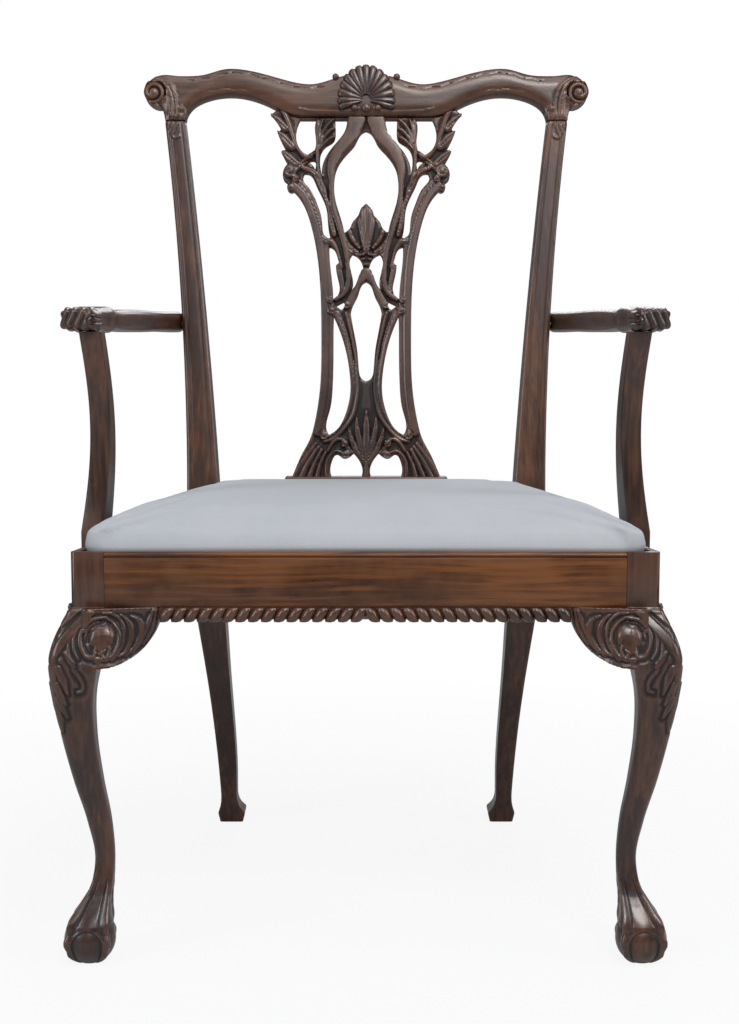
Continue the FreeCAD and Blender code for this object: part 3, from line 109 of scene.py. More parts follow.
def spread_mean(values, edges, count):
    """Mean of each vertex's neighbours."""
    total = np.zeros((count,) + values.shape[1:])
    np.add.at(total, edges[:, 0], values[edges[:, 1]])
    np.add.at(total, edges[:, 1], values[edges[:, 0]])
    degree = np.bincount(edges.ravel(), minlength=count).astype(float)
    degree[degree == 0] = 1
    return total / (degree[:, None] if values.ndim > 1 else degree)


RELAX_SHARE = 0.5
RELAX_BACK = 0.9                 # of each step taken back, against shrinking


def relax(mesh, rounds):
    """Evens out a mesh without shrinking it much."""
    edges = edges_of(mesh)
    co = coords(mesh)
    for n in range(rounds):
        co = co + (spread_mean(co, edges, len(co)) - co) * RELAX_SHARE
        co = co - (spread_mean(co, edges, len(co)) - co) * RELAX_SHARE * RELAX_BACK
    set_coords(mesh, co)


def cad_bmesh(name):
    """Editable copy of a CAD node's mesh, its near points merged."""
    bm = bmesh.new()
    bm.from_mesh(NODES[name].data)
    bmesh.ops.remove_doubles(bm, verts=bm.verts, dist=2e-5)
    return bm


def to_mesh(bm, name):
    """Mesh of an edited copy, which is given up."""
    mesh = bpy.data.meshes.new(name)
    bm.to_mesh(mesh)
    bm.free()
    return mesh


def cad_copy(name):
    """Clean mesh of a CAD node."""
    bm = cad_bmesh(name)
    bmesh.ops.dissolve_degenerate(bm, edges=bm.edges, dist=1e-6)
    bmesh.ops.recalc_face_normals(bm, faces=bm.faces)
    return to_mesh(bm, name)


def cad_tree(name):
    """Search tree of a CAD node's surface."""
    bm = cad_bmesh(name)
    tree = BVHTree.FromBMesh(bm)
    bm.free()
    return tree


def closed_mesh(name, co, faces, merge=None):
    """Mesh of points in metres with its faces turned outwards, without loose points."""
    mesh = bpy.data.meshes.new(name)
    mesh.from_pydata(co.tolist(), [], faces)
    bm = bmesh.new()
    bm.from_mesh(mesh)
    bpy.data.meshes.remove(mesh)
    if merge:
        bmesh.ops.remove_doubles(bm, verts=bm.verts, dist=merge)
    bmesh.ops.delete(bm, geom=[v for v in bm.verts if not v.link_faces], context="VERTS")
    bmesh.ops.recalc_face_normals(bm, faces=bm.faces)
    return to_mesh(bm, name)


def tube_faces(rings, around):
    """Faces of a tube of rings, lowest first, with its two ends."""
    faces = []
    for i in range(rings - 1):
        for k in range(around):
            a = i * around + k
            b = i * around + (k + 1) % around
            faces.append((a, b, b + around, a + around))
    faces.append(tuple(range(around))[::-1])
    faces.append(tuple((rings - 1) * around + k for k in range(around)))
    return faces


def new_object(name, data):
    obj = bpy.data.objects.new(name, data)
    bpy.context.scene.collection.objects.link(obj)
    return obj


def baked(obj):
    """Mesh of a work object with its modifiers applied; the object goes."""
    deps = bpy.context.evaluated_depsgraph_get()
    mesh = bpy.data.meshes.new_from_object(obj.evaluated_get(deps))
    old = obj.data
    bpy.data.objects.remove(obj)
    bpy.data.meshes.remove(old)
    return mesh


def shade(mesh, angle):
    mesh.polygons.foreach_set("use_smooth", np.ones(len(mesh.polygons), bool))
    mesh.set_sharp_from_angle(angle=math.radians(angle))


def mirror_mesh(mesh):
    """The same form on the other side of the chair."""
    copy = mesh.copy()
    co = coords(copy)
    co[:, 0] *= -1
    set_coords(copy, co)
    copy.flip_normals()
    return copy


FORM_DEPTH = 5.5                 # of a hollow that counts as deep


def mark_form(mesh, gain):
    """Stores how far each point stands out of, or lies below, what surrounds it: hollows, which take painted
    shade, and worn edges.
    """
    edges = edges_of(mesh)
    co = coords(mesh)
    no = normals(mesh)
    length = np.linalg.norm(co[edges[:, 0]] - co[edges[:, 1]], axis=1)
    lift = ((co - spread_mean(co, edges, len(co))) * no).sum(1) / max(length.mean(), 1e-6)
    for n in range(2):
        lift = lift * 0.5 + spread_mean(lift, edges, len(co)) * 0.5
    if gain > 1:
        level = co
        for n in range(16):
            level = spread_mean(level, edges, len(co))
        lift = lift * 0.7 + ((co - level) * no).sum(1) / (FORM_DEPTH * MM)
    kept = mesh.attributes.new("form", "FLOAT", "POINT")
    kept.data.foreach_set("value", np.clip(lift * 4 * gain, -1, 1).astype(np.float32))


GRAIN_AXES = {"x": (0, 1, 2), "y": (1, 0, 2), "z": (2, 0, 1), "back": (2, 0, 1)}


def mark_grain(mesh, along, seed):
    """Stores wood coordinates: first along the grain, each timber cut from its own place."""
    co = coords(mesh)
    if along == "back":
        co = to_back(co) * MM
    grain = co[:, GRAIN_AXES[along]] + np.array([seed * 1.37, seed * 0.61, seed * 0.29])
    kept = mesh.attributes.new("grain", "FLOAT_VECTOR", "POINT")
    kept.data.foreach_set("vector", grain.astype(np.float32).ravel())


# Materials: shared effects are node groups, the shader stays in each material

def new_group(name, inputs, outputs):
    """Empty node group with its sockets: label, kind and, for an input, its value."""
    tree = bpy.data.node_groups.new(name, "ShaderNodeTree")
    kinds = {"f": "NodeSocketFloat", "v": "NodeSocketVector"}
    for label, kind, value in inputs:
        socket = tree.interface.new_socket(label, in_out="INPUT", socket_type=kinds[kind])
        if value is not None:
            socket.default_value = value
    for label, kind in outputs:
        tree.interface.new_socket(label, in_out="OUTPUT", socket_type=kinds[kind])
    return tree, tree.nodes.new("NodeGroupInput"), tree.nodes.new("NodeGroupOutput")


def node(tree, kind, links=(), **settings):
    """Adds a node; settings name its properties, links pair its sockets with values or other sockets."""
    n = tree.nodes.new(kind)
    for key, value in settings.items():
        setattr(n, key, value)
    for key, value in links:
        if isinstance(value, bpy.types.NodeSocket):
            tree.links.new(value, n.inputs[key])
        else:
            n.inputs[key].default_value = value
    return n


def maths(tree, operation, *values, clamp=False):
    return node(tree, "ShaderNodeMath", enumerate(values), operation=operation, use_clamp=clamp).outputs[0]


def times(tree, a, b):
    return maths(tree, "MULTIPLY", a, b)


def plus(tree, a, b):
    return maths(tree, "ADD", a, b)


def stretch(tree, vector, scale):
    return node(tree, "ShaderNodeVectorMath", [(0, vector), (1, scale)], operation="MULTIPLY").outputs[0]


def noise(tree, vector, scale, detail, rough=0.55):
    n = node(tree, "ShaderNodeTexNoise", [("Vector", vector), ("Scale", scale), ("Detail", detail),
                                          ("Roughness", rough), ("Distortion", 0.0)])
    return n.outputs["Fac"]


def remap(tree, value, low, high, to_low=0.0, to_high=1.0):
    n = node(tree, "ShaderNodeMapRange", [("Value", value), ("From Min", low), ("From Max", high),
                                          ("To Min", to_low), ("To Max", to_high)])
    return n.outputs["Result"]


def blend_colour(tree, factor, a, b):
    return node(tree, "ShaderNodeMix", [(0, factor), (6, a), (7, b)], data_type="RGBA").outputs[2]


def bump(tree, shader, height, strength, distance):
    """Fine relief of a surface."""
    n = node(tree, "ShaderNodeBump", [("Height", height), ("Strength", strength), ("Distance", distance)])
    tree.links.new(n.outputs[0], shader.inputs["Normal"])


def object_place(tree):
    return node(tree, "ShaderNodeTexCoord").outputs["Object"]


def wood_grain_group():
    """Streaks, broad figure and open pores of a straight-grained timber."""
    tree, gin, gout = new_group("wood_grain",
                                [("Coord", "v", None), ("Streak", "f", 1.0), ("Figure", "f", 1.0)],
                                [("Tone", "f"), ("Pores", "f"), ("Height", "f")])
    c = gin.outputs["Coord"]
    warp = times(tree, noise(tree, stretch(tree, c, (2.2, 9.0, 9.0)), 1.0, 2.0), 0.022)
    shift = node(tree, "ShaderNodeCombineXYZ", [("Y", warp), ("Z", warp)]).outputs[0]
    v = node(tree, "ShaderNodeVectorMath", [(0, c), (1, shift)], operation="ADD").outputs[0]
    broad = noise(tree, stretch(tree, v, (2.6, 26.0, 26.0)), 1.0, 3.0)
    streak = noise(tree, stretch(tree, v, (7.0, 190.0, 190.0)), 1.0, 5.0, 0.6)
    fine = noise(tree, stretch(tree, v, (24.0, 900.0, 900.0)), 1.0, 3.0, 0.6)
    cloud = noise(tree, stretch(tree, c, (5.0, 9.0, 9.0)), 1.0, 3.0)
    a = times(tree, remap(tree, broad, 0.3, 0.7), 0.36)
    b = times(tree, times(tree, remap(tree, streak, 0.3, 0.7), 0.38), gin.outputs["Streak"])
    d = times(tree, times(tree, remap(tree, cloud, 0.32, 0.68), 0.26), gin.outputs["Figure"])
    tone = maths(tree, "ADD", plus(tree, a, b), d, clamp=True)
    pores = remap(tree, fine, 0.60, 0.72)
    tree.links.new(tone, gout.inputs["Tone"])
    tree.links.new(pores, gout.inputs["Pores"])
    tree.links.new(maths(tree, "SUBTRACT", times(tree, streak, 0.25), pores), gout.inputs["Height"])
    return tree


def wear_and_painted_shade_group():
    """Painted shade with dark wax in hollows, wood rubbed paler on edges, and patchy handling."""
    tree, gin, gout = new_group("wear_and_painted_shade", [("Form", "f", 0.0), ("Coord", "v", None)],
                                [("Painted Shade And Wax", "f"), ("Rubbed", "f"), ("Patch", "f")])
    # mask of the hollows, whose colour is darkened: painted shade, also standing for dark wax
    painted_shade_and_wax = remap(tree, gin.outputs["Form"], -0.04, -0.42)
    patch = noise(tree, gin.outputs["Coord"], 22.0, 4.0, 0.6)
    edge = remap(tree, gin.outputs["Form"], 0.10, 0.55)
    rubbed = times(tree, edge, remap(tree, patch, 0.36, 0.62, 0.25, 1.0))
    tree.links.new(painted_shade_and_wax, gout.inputs["Painted Shade And Wax"])
    tree.links.new(rubbed, gout.inputs["Rubbed"])
    tree.links.new(remap(tree, patch, 0.3, 0.7), gout.inputs["Patch"])
    return tree


def weave_group():
    """Plain weave of fine threads with slubs; lengths in metres."""
    tree, gin, gout = new_group("plain_weave", [("Coord", "v", None), ("Threads", "f", 1500.0)],
                                [("Height", "f"), ("Shade", "f")])
    sep = node(tree, "ShaderNodeSeparateXYZ", [(0, gin.outputs["Coord"])])
    x, y = (maths(tree, "SINE", times(tree, sep.outputs[n], gin.outputs["Threads"])) for n in range(2))
    over = maths(tree, "GREATER_THAN", times(tree, x, y), 0.0)
    under = maths(tree, "SUBTRACT", 1.0, over)
    height = plus(tree, times(tree, maths(tree, "ABSOLUTE", x), over),
                  times(tree, maths(tree, "ABSOLUTE", y), under))
    slub_a = noise(tree, stretch(tree, gin.outputs["Coord"], (18.0, 420.0, 60.0)), 1.0, 3.0)
    slub_b = noise(tree, stretch(tree, gin.outputs["Coord"], (420.0, 18.0, 60.0)), 1.0, 3.0)
    slub = times(tree, plus(tree, slub_a, slub_b), 0.5)
    tree.links.new(height, gout.inputs["Height"])
    tree.links.new(slub, gout.inputs["Shade"])
    return tree


WOOD_GRAIN = wood_grain_group()
WEAR_AND_PAINTED_SHADE = wear_and_painted_shade_group()
WEAVE = weave_group()


def material(name):
    m = bpy.data.materials.new(name)
    m.use_nodes = True
    tree = m.node_tree
    return m, tree, tree.nodes["Principled BSDF"]


def group(tree, kind, **links):
    return node(tree, "ShaderNodeGroup", links.items(), node_tree=kind)


def wood(name, dark, middle, pale, painted_shade_and_wax, rubbed, polish, coat, streak=1.0, figure=1.0, raw=False,
         gloss=0.5):
    """Timber: dark, middle and pale growth, colour of hollows (painted shade with dark wax) and of rubbed
    edges, roughness and gloss coat.
    """
    m, tree, shader = material(name)
    if raw:
        coord = object_place(tree)
        form = 0.0
    else:
        coord = node(tree, "ShaderNodeAttribute", attribute_name="grain").outputs["Vector"]
        form = node(tree, "ShaderNodeAttribute", attribute_name="form").outputs["Fac"]
    grain = group(tree, WOOD_GRAIN, Coord=coord, Streak=streak, Figure=figure)
    wear_and_shade = group(tree, WEAR_AND_PAINTED_SHADE, Coord=coord, Form=form)
    ramp = node(tree, "ShaderNodeValToRGB", [(0, grain.outputs["Tone"])])
    first, last = ramp.color_ramp.elements
    first.position = 0.12
    first.color = (*dark, 1)
    last.position = 0.92
    last.color = (*pale, 1)
    ramp.color_ramp.elements.new(0.52).color = (*middle, 1)
    colour = ramp.outputs[0]
    # pores and rubbed edges are the wood's own; the hollows take painted shade with dark wax
    for mark, share, tint in ((grain.outputs["Pores"], 0.55, [v * 0.35 for v in dark]),
                              (wear_and_shade.outputs["Rubbed"], 0.55, rubbed),
                              (wear_and_shade.outputs["Painted Shade And Wax"], 0.85, painted_shade_and_wax)):
        colour = blend_colour(tree, times(tree, mark, share), colour, (*tint, 1))
    tree.links.new(colour, shader.inputs["Base Color"])
    rough = plus(tree, times(tree, wear_and_shade.outputs["Patch"], 0.10), polish)
    rough = plus(tree, rough, times(tree, wear_and_shade.outputs["Painted Shade And Wax"], 0.5))
    tree.links.new(rough, shader.inputs["Roughness"])
    bump(tree, shader, grain.outputs["Height"], 0.12, 0.0006)
    shader.inputs["Specular IOR Level"].default_value = gloss
    shader.inputs["Coat Weight"].default_value = coat
    shader.inputs["Coat Roughness"].default_value = 0.2
    return m


def fabric(name, colour, deep, threads, sheen):
    """Woven cloth: its colour, a darker colour for slubs and for painted shade between threads, fineness of
    the weave and sheen.
    """
    m, tree, shader = material(name)
    coord = object_place(tree)
    weave = group(tree, WEAVE, Coord=coord, Threads=threads)
    drift = noise(tree, coord, 9.0, 3.0)
    base = blend_colour(tree, remap(tree, weave.outputs["Shade"], 0.34, 0.66), (*deep, 1), (*colour, 1))
    # thread tops stay paler and the low places between threads go darker: painted shade
    base = blend_colour(tree, times(tree, weave.outputs["Height"], 0.30), (*deep, 1), base)
    base = blend_colour(tree, remap(tree, drift, 0.35, 0.65, 0.0, 0.35), base, (*colour, 1))
    tree.links.new(base, shader.inputs["Base Color"])
    shader.inputs["Roughness"].default_value = 0.85
    shader.inputs["Sheen Weight"].default_value = sheen
    shader.inputs["Sheen Roughness"].default_value = 0.4
    shader.inputs["Specular IOR Level"].default_value = 0.25
    bump(tree, shader, weave.outputs["Height"], 0.25, 0.0004)
    return m


def steel(name, bright, dull):
    """Metal with dull stains."""
    m, tree, shader = material(name)
    stain = noise(tree, object_place(tree), 320.0, 5.0, 0.65)
    tree.links.new(blend_colour(tree, remap(tree, stain, 0.4, 0.66), (*bright, 1), (*dull, 1)),
                   shader.inputs["Base Color"])
    tree.links.new(remap(tree, stain, 0.35, 0.7, 0.3, 0.62), shader.inputs["Roughness"])
    shader.inputs["Metallic"].default_value = 0.9
    bump(tree, shader, stain, 0.15, 0.0002)
    return m


# Fourth colour of each wood: painted shade, with dark wax, laid in its hollows; fifth: its rubbed edges
MAHOGANY = wood("mahogany_polished", (0.0048, 0.0021, 0.0014), (0.0238, 0.0082, 0.0041),
                (0.094, 0.0335, 0.0142), (0.0025, 0.0017, 0.0015), (0.10, 0.044, 0.026), 0.28, 0.2, 1.2, 1.2)
RAIL_WOOD = wood("mahogany_rails", (0.0045, 0.0016, 0.0008), (0.029, 0.0078, 0.0024), (0.18, 0.06, 0.014),
                 (0.006, 0.0035, 0.0026), (0.14, 0.058, 0.026), 0.26, 0.1, 1.4, 1.6, gloss=0.28)
CREST_WOOD = wood("mahogany_crest", (0.010, 0.0043, 0.0027), (0.037, 0.0129, 0.0062), (0.118, 0.044, 0.0155),
                  (0.0035, 0.0022, 0.0018), (0.11, 0.048, 0.027), 0.30, 0.15, 1.15, 1.2, gloss=0.45)
BEECH = wood("beech_frame", (0.30, 0.185, 0.095), (0.40, 0.26, 0.145), (0.50, 0.345, 0.205),
             (0.2, 0.12, 0.06), (0.5, 0.35, 0.21), 0.55, 0.0, 0.6, 0.6, True)
BRACKET_WOOD = wood("mahogany_unpolished", (0.045, 0.02, 0.011), (0.10, 0.046, 0.024), (0.17, 0.085, 0.046),
                    (0.02, 0.01, 0.006), (0.16, 0.09, 0.05), 0.5, 0.0)
# Second colour of each cloth: darker slubs, and painted shade between threads
SEAT_CLOTH = fabric("seat_cloth", (0.413, 0.41, 0.423), (0.345, 0.355, 0.375), 2600.0, 0.2)
DUST_CLOTH = fabric("black_dust_cloth", (0.030, 0.030, 0.032), (0.014, 0.014, 0.015), 1800.0, 0.1)
STRAP_CLOTH = fabric("jute_straps", (0.34, 0.26, 0.15), (0.2, 0.145, 0.08), 1400.0, 0.1)
SCREW_STEEL = steel("aged_steel", (0.36, 0.35, 0.33), (0.10, 0.085, 0.07))


def dress(name, mesh, mat, body, slot, *replaced, grain=None, seed=0, angle=40, gain=1.0):
    """Makes a finished piece of a mesh: material, wood marks, body and the solids it stands for."""
    mesh.materials.clear()
    mesh.materials.append(mat)
    shade(mesh, angle)
    if grain:
        mark_grain(mesh, grain, seed)
        mark_form(mesh, gain)
    obj = new_object(name, mesh)
    if replaced:
        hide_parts(*replaced)
    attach(obj, body)
    return obj


def timber(name, mesh, mat, *replaced, **looks):
    """Finished piece of the chair's frame."""
    dress(name, mesh, mat, "frame", "mahogany", *replaced, **looks)


def timber_pair(name, mesh, mat, source, seed, **looks):
    """A timber of the right side and its mirror image; %s in the names stands for the side."""
    left = mirror_mesh(mesh)
    for side, form, start in (("right", mesh, seed), ("left", left, seed + 1)):
        timber(name % side, form, mat, source % side, seed=start, **looks)


# Plain timbers: the solid's own shape with softened edges

SHARP_EDGE = 28                  # degrees


def softened(name, width):
    """CAD shape with its sharp edges rounded."""
    obj = new_object("work", cad_copy(name))
    bm = bmesh.new()
    bm.from_mesh(obj.data)
    bmesh.ops.dissolve_limit(bm, angle_limit=math.radians(0.4), verts=bm.verts, edges=bm.edges)
    bm.to_mesh(obj.data)
    bm.free()
    mod = obj.modifiers.new("edges", "BEVEL")
    mod.width = width * MM
    mod.segments = 2
    mod.limit_method = "ANGLE"
    mod.angle_limit = math.radians(SHARP_EDGE)
    return baked(obj)


def remeshed(name, voxel, rounds):
    """CAD shape with small even faces, ready for carving."""
    obj = new_object("work", cad_copy(name))
    mod = obj.modifiers.new("even", "REMESH")
    mod.mode = "VOXEL"
    mod.voxel_size = voxel * MM
    mesh = baked(obj)
    relax(mesh, rounds)
    return mesh


# Name and solid of a timber that comes left and right, wood, grain and rounding of its edges
PLAIN = (
    ("side_rail_", "side_seat_rail_", RAIL_WOOD, "y", 1.2),
    ("arm_post_", "arm_support_", MAHOGANY, "z", 1.0),
    ("bracket_front_", "corner_block_front_", BRACKET_WOOD, "x", 0.8),
    ("bracket_rear_", "corner_block_rear_", BRACKET_WOOD, "x", 0.8),
)


def plain_timbers():
    """Timbers without carving."""
    timber("rear_rail", softened("rear_seat_rail", 1.2), MAHOGANY, "rear_seat_rail", grain="x", seed=2)
    seed = 3
    for name, source, mat, along, width in PLAIN:
        for side in ("left", "right"):
            timber(name + side, softened(source + side, width), mat, source + side, grain=along, seed=seed)
            seed += 1


RAIL_BEAD = 14.5                 # from the top of the front rail, drawn in to the share below
RAIL_BEAD_SHARE = 0.55
RAIL_FACE = 6.0                  # depth of the rail's front that takes part


def front_rail():
    """Front rail with a slim bead along its top."""
    mesh = softened("front_seat_rail", 1.2)
    low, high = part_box("front_seat_rail")
    co = coords(mesh)
    bead = (co[:, 2] > high.z - RAIL_BEAD * MM) & (co[:, 1] < low.y + RAIL_FACE * MM)
    co[bead, 2] = high.z - (high.z - co[bead, 2]) * RAIL_BEAD_SHARE
    set_coords(mesh, co)
    timber("front_rail", mesh, RAIL_WOOD, "front_seat_rail", grain="x", seed=1)


SHOE_BEAD = (218.0, 22.0, 7.4)   # length, depth and height of the bead round the splat's foot
SHOE_BEAD_ROUND = 2.6


def splat_shoe():
    """Shoe of the splat with a bead on top."""
    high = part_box("splat_shoe")[1]
    length, depth, height = SHOE_BEAD
    bm = bmesh.new()
    bmesh.ops.create_cube(bm, size=1.0)
    for v in bm.verts:
        v.co.x *= length * MM
        v.co.y = high.y + (v.co.y * depth - depth / 2 - 1.0) * MM
        v.co.z = high.z + (v.co.z * height + height / 2 - 0.6) * MM
    bmesh.ops.bevel(bm, geom=bm.edges[:], offset=SHOE_BEAD_ROUND * MM, segments=4, profile=0.5,
                    affect="EDGES")
    mesh = joined([softened("splat_shoe", 1.0), to_mesh(bm, "bead")], "shoe")
    timber("splat_shoe_moulded", mesh, MAHOGANY, "splat_shoe", grain="x", seed=15)


# Carving: strokes of the chisel as lines with a width, read as heights over a flat

STROKE_STEP = 0.7                # between the points of a line


class Stroke:
    """Smooth line through points with half widths, in the plane of a carving."""

    def __init__(self, points, widths):
        p = np.array(points, float)
        w = np.interp(np.linspace(0, 1, len(p)), np.linspace(0, 1, len(widths)), widths)
        ext = np.vstack((2 * p[0] - p[1], p, 2 * p[-1] - p[-2]))
        out = []
        half = []
        for i in range(1, len(ext) - 2):
            count = max(3, int(np.linalg.norm(ext[i + 1] - ext[i]) / STROKE_STEP))
            t = np.linspace(0, 1, count, endpoint=False)[:, None]
            a, b, c, d = ext[i - 1], ext[i], ext[i + 1], ext[i + 2]
            out.append(0.5 * (2 * b + (c - a) * t + (2 * a - 5 * b + 4 * c - d) * t ** 2
                              + (3 * b - a - 3 * c + d) * t ** 3))
            half.append(w[i - 1] + (w[i] - w[i - 1]) * t[:, 0])
        self.p = np.vstack(out + [p[-1:]])
        self.w = np.concatenate(half + [w[-1:]])
        self.t = np.gradient(self.p, axis=0)
        self.t /= np.maximum(np.linalg.norm(self.t, axis=1), 1e-9)[:, None]
        run = np.linalg.norm(np.diff(self.p, axis=0), axis=1)
        self.s = np.concatenate(([0], np.cumsum(run)))

    def near(self, points, margin=0.5):
        """Indices of the points beside the line, with their offset across it and run along it."""
        reach = self.w.max() * 1.3 + margin
        low = self.p.min(0) - reach
        high = self.p.max(0) + reach
        index = np.nonzero(((points > low) & (points < high)).all(1))[0]
        q = points[index]
        best = np.empty(len(q), int)
        for k in range(0, len(q), 4000):
            d = ((q[k:k + 4000, None, :] - self.p[None]) ** 2).sum(2)
            best[k:k + 4000] = d.argmin(1)
        off = q - self.p[best]
        side = self.t[best, 0] * off[:, 1] - self.t[best, 1] * off[:, 0]
        dist = np.linalg.norm(off, axis=1)
        return index, dist / self.w[best], np.sign(side), self.s[best], self.w[best]


def cut(kind, t, side, s, w, height):
    """Height across a stroke, t from its middle line to its edge."""
    u = np.clip(t, 0, 1)
    dome = np.sqrt(np.maximum(0, 1 - u ** 2))
    if kind == "flat":
        return height * (1 - 0.1 * u ** 2 - 0.8 * smooth(0.84, 1.0, u))
    if kind == "stepped":
        v = side * u
        step = 0.66 + 0.34 * smooth(-0.34, -0.24, v) - 0.35 * bell(v + 0.2, 0.07)
        return height * (step - 0.5 * smooth(0.88, 1.0, u))
    if kind == "petal":
        flute = np.cos(2 * math.pi * np.arctan2(u * w, s + 14) / 0.105)
        return height * (0.25 + 0.75 * dome + 0.1 * flute * smooth(0.0, 0.4, dome))
    if kind == "husk":
        return height * (dome * 0.95 - 0.28 * bell(u, 0.13))
    return height * dome            # round


def carve(points, strokes, floor):
    """Heights of all strokes over a sunk floor, the highest one showing."""
    z = np.full(len(points), floor)
    for stroke, kind, height in strokes:
        index, t, side, s, w = stroke.near(points)
        inside = t < 1.0
        index, t, side, s, w = index[inside], t[inside], side[inside], s[inside], w[inside]
        z[index] = np.maximum(z[index], floor + cut(kind, t, side, s, w, height))
    return z


# Flat boards with pierced outlines

def face_loops(name, depth):
    """Closed outlines, in x and height, of the flat face of a leaning board at a depth."""
    bm = cad_bmesh(name)
    co = to_back(np.array([v.co for v in bm.verts]))
    on = np.abs(co[:, 1] - depth) < 0.06
    flat = {f.index for f in bm.faces if all(on[v.index] for v in f.verts)}
    links = {}
    for e in bm.edges:
        if sum(f.index in flat for f in e.link_faces) == 1:
            a, b = e.verts[0].index, e.verts[1].index
            links.setdefault(a, []).append(b)
            links.setdefault(b, []).append(a)
    bm.free()
    loops = []
    while links:
        start = next(iter(links))
        loop = [start]
        here = start
        while True:
            there = links[here].pop()
            if not links[here]:
                del links[here]
            links[there].remove(here)
            if not links[there]:
                del links[there]
            if there == start:
                break
            loop.append(there)
            here = there
        if len(loop) > 2:
            loops.append(co[loop][:, (0, 2)])
    return loops


def divided(loop, step):
    """Outline with points no further apart than a step."""
    out = []
    for a, b in zip(loop, np.roll(loop, -1, axis=0)):
        count = max(1, int(np.ceil(np.linalg.norm(b - a) / step)))
        for k in range(count):
            out.append(a + (b - a) * k / count)
    return np.array(out)


def edge_tree(loops):
    points = np.vstack(loops)
    tree = kdtree.KDTree(len(points))
    for n, p in enumerate(points):
        tree.insert((p[0], p[1], 0), n)
    tree.balance()
    return tree


def edge_distance(tree, points):
    return np.array([tree.find((p[0], p[1], 0))[2] for p in points])


def inner_grid(loops, step):
    """Staggered points inside the outlines."""
    a = np.vstack(loops)
    b = np.vstack([np.roll(loop, -1, axis=0) for loop in loops])
    rows = []
    low, high = a[:, 1].min(), a[:, 1].max()
    for n, h in enumerate(np.arange(low + step * 0.5, high, step * 0.866)):
        hit = (a[:, 1] > h) != (b[:, 1] > h)
        xs = np.sort(a[hit, 0] + (h - a[hit, 1]) * (b[hit, 0] - a[hit, 0]) / (b[hit, 1] - a[hit, 1]))
        for x0, x1 in zip(xs[::2], xs[1::2]):
            k0 = math.ceil((x0 - step * 0.5 * (n % 2)) / step)
            k1 = math.floor((x1 - step * 0.5 * (n % 2)) / step)
            if k1 >= k0:
                x = (np.arange(k0, k1 + 1) + 0.5 * (n % 2)) * step
                rows.append(np.column_stack((x, np.full(len(x), h))))
    return np.vstack(rows)


def inside(loops, points):
    """Which points lie inside the outlines and outside their holes."""
    a = np.vstack(loops)
    b = np.vstack([np.roll(loop, -1, axis=0) for loop in loops])
    rise = b[:, 1] - a[:, 1]
    rise[rise == 0] = 1e-12
    found = np.zeros(len(points), bool)
    for k in range(0, len(points), 2000):
        q = points[k:k + 2000]
        hit = (a[None, :, 1] > q[:, None, 1]) != (b[None, :, 1] > q[:, None, 1])
        x = a[None, :, 0] + (q[:, None, 1] - a[None, :, 1]) * ((b[:, 0] - a[:, 0]) / rise)[None]
        found[k:k + 2000] = (hit & (x > q[:, None, 0])).sum(1) % 2 == 1
    return found


def loop_edges(loops):
    """Edges of closed outlines whose points follow one another."""
    edges = []
    start = 0
    for loop in loops:
        count = len(loop)
        edges += [(start + k, start + (k + 1) % count) for k in range(count)]
        start += count
    return edges


def triangulated(points, loops, mode):
    """Points and faces of filled outlines, and where each given point is among them."""
    flat = [Vector(p) for p in points]
    out, _, faces, sources, _, _ = geometry.delaunay_2d_cdt(flat, loop_edges(loops), [], mode, 1e-5)
    place = {o: n for n, origin in enumerate(sources) for o in origin}
    return np.array([(v.x, v.y) for v in out]), [tuple(f) for f in faces], place


def filled(loops, faces, xy):
    """Faces of a triangulated outline that aren't in its holes."""
    middles = np.array([xy[list(f)].mean(0) for f in faces])
    keep = inside(loops, middles)
    return [f for f, k in zip(faces, keep) if k]


def board(loops, front, back, relief, edge_step, step):
    """Leaning board between two depths; its front follows a relief of points and edge distances."""
    loops = [divided(loop, edge_step) for loop in loops]
    tree = edge_tree(loops)
    grid = inner_grid(loops, step)
    grid = grid[edge_distance(tree, grid) > step * 0.55]
    rim = np.vstack(loops)
    xy, faces, place = triangulated(np.vstack((rim, grid)), loops, 2)
    faces = filled(loops, faces, xy)
    height = relief(xy, edge_distance(tree, xy))
    co = np.column_stack((xy[:, 0], front - height, xy[:, 1]))
    back_xy, back_faces, back_place = triangulated(rim, loops, 2)
    base = len(co)
    co = np.vstack((co, np.column_stack((back_xy[:, 0], np.full(len(back_xy), back), back_xy[:, 1]))))
    faces += [tuple(base + k for k in f) for f in filled(loops, back_faces, back_xy)]
    for a, b in loop_edges(loops):
        faces.append((place[a], place[b], base + back_place[b], base + back_place[a]))
    return closed_mesh("board", from_back(co), faces)


# Splat

SPLAT_FRONT = 6.0
SPLAT_BACK = 18.0
SPLAT_FLOOR = -3.9
SPLAT_DEPTH = 1.32               # of the cuts, over the heights drawn

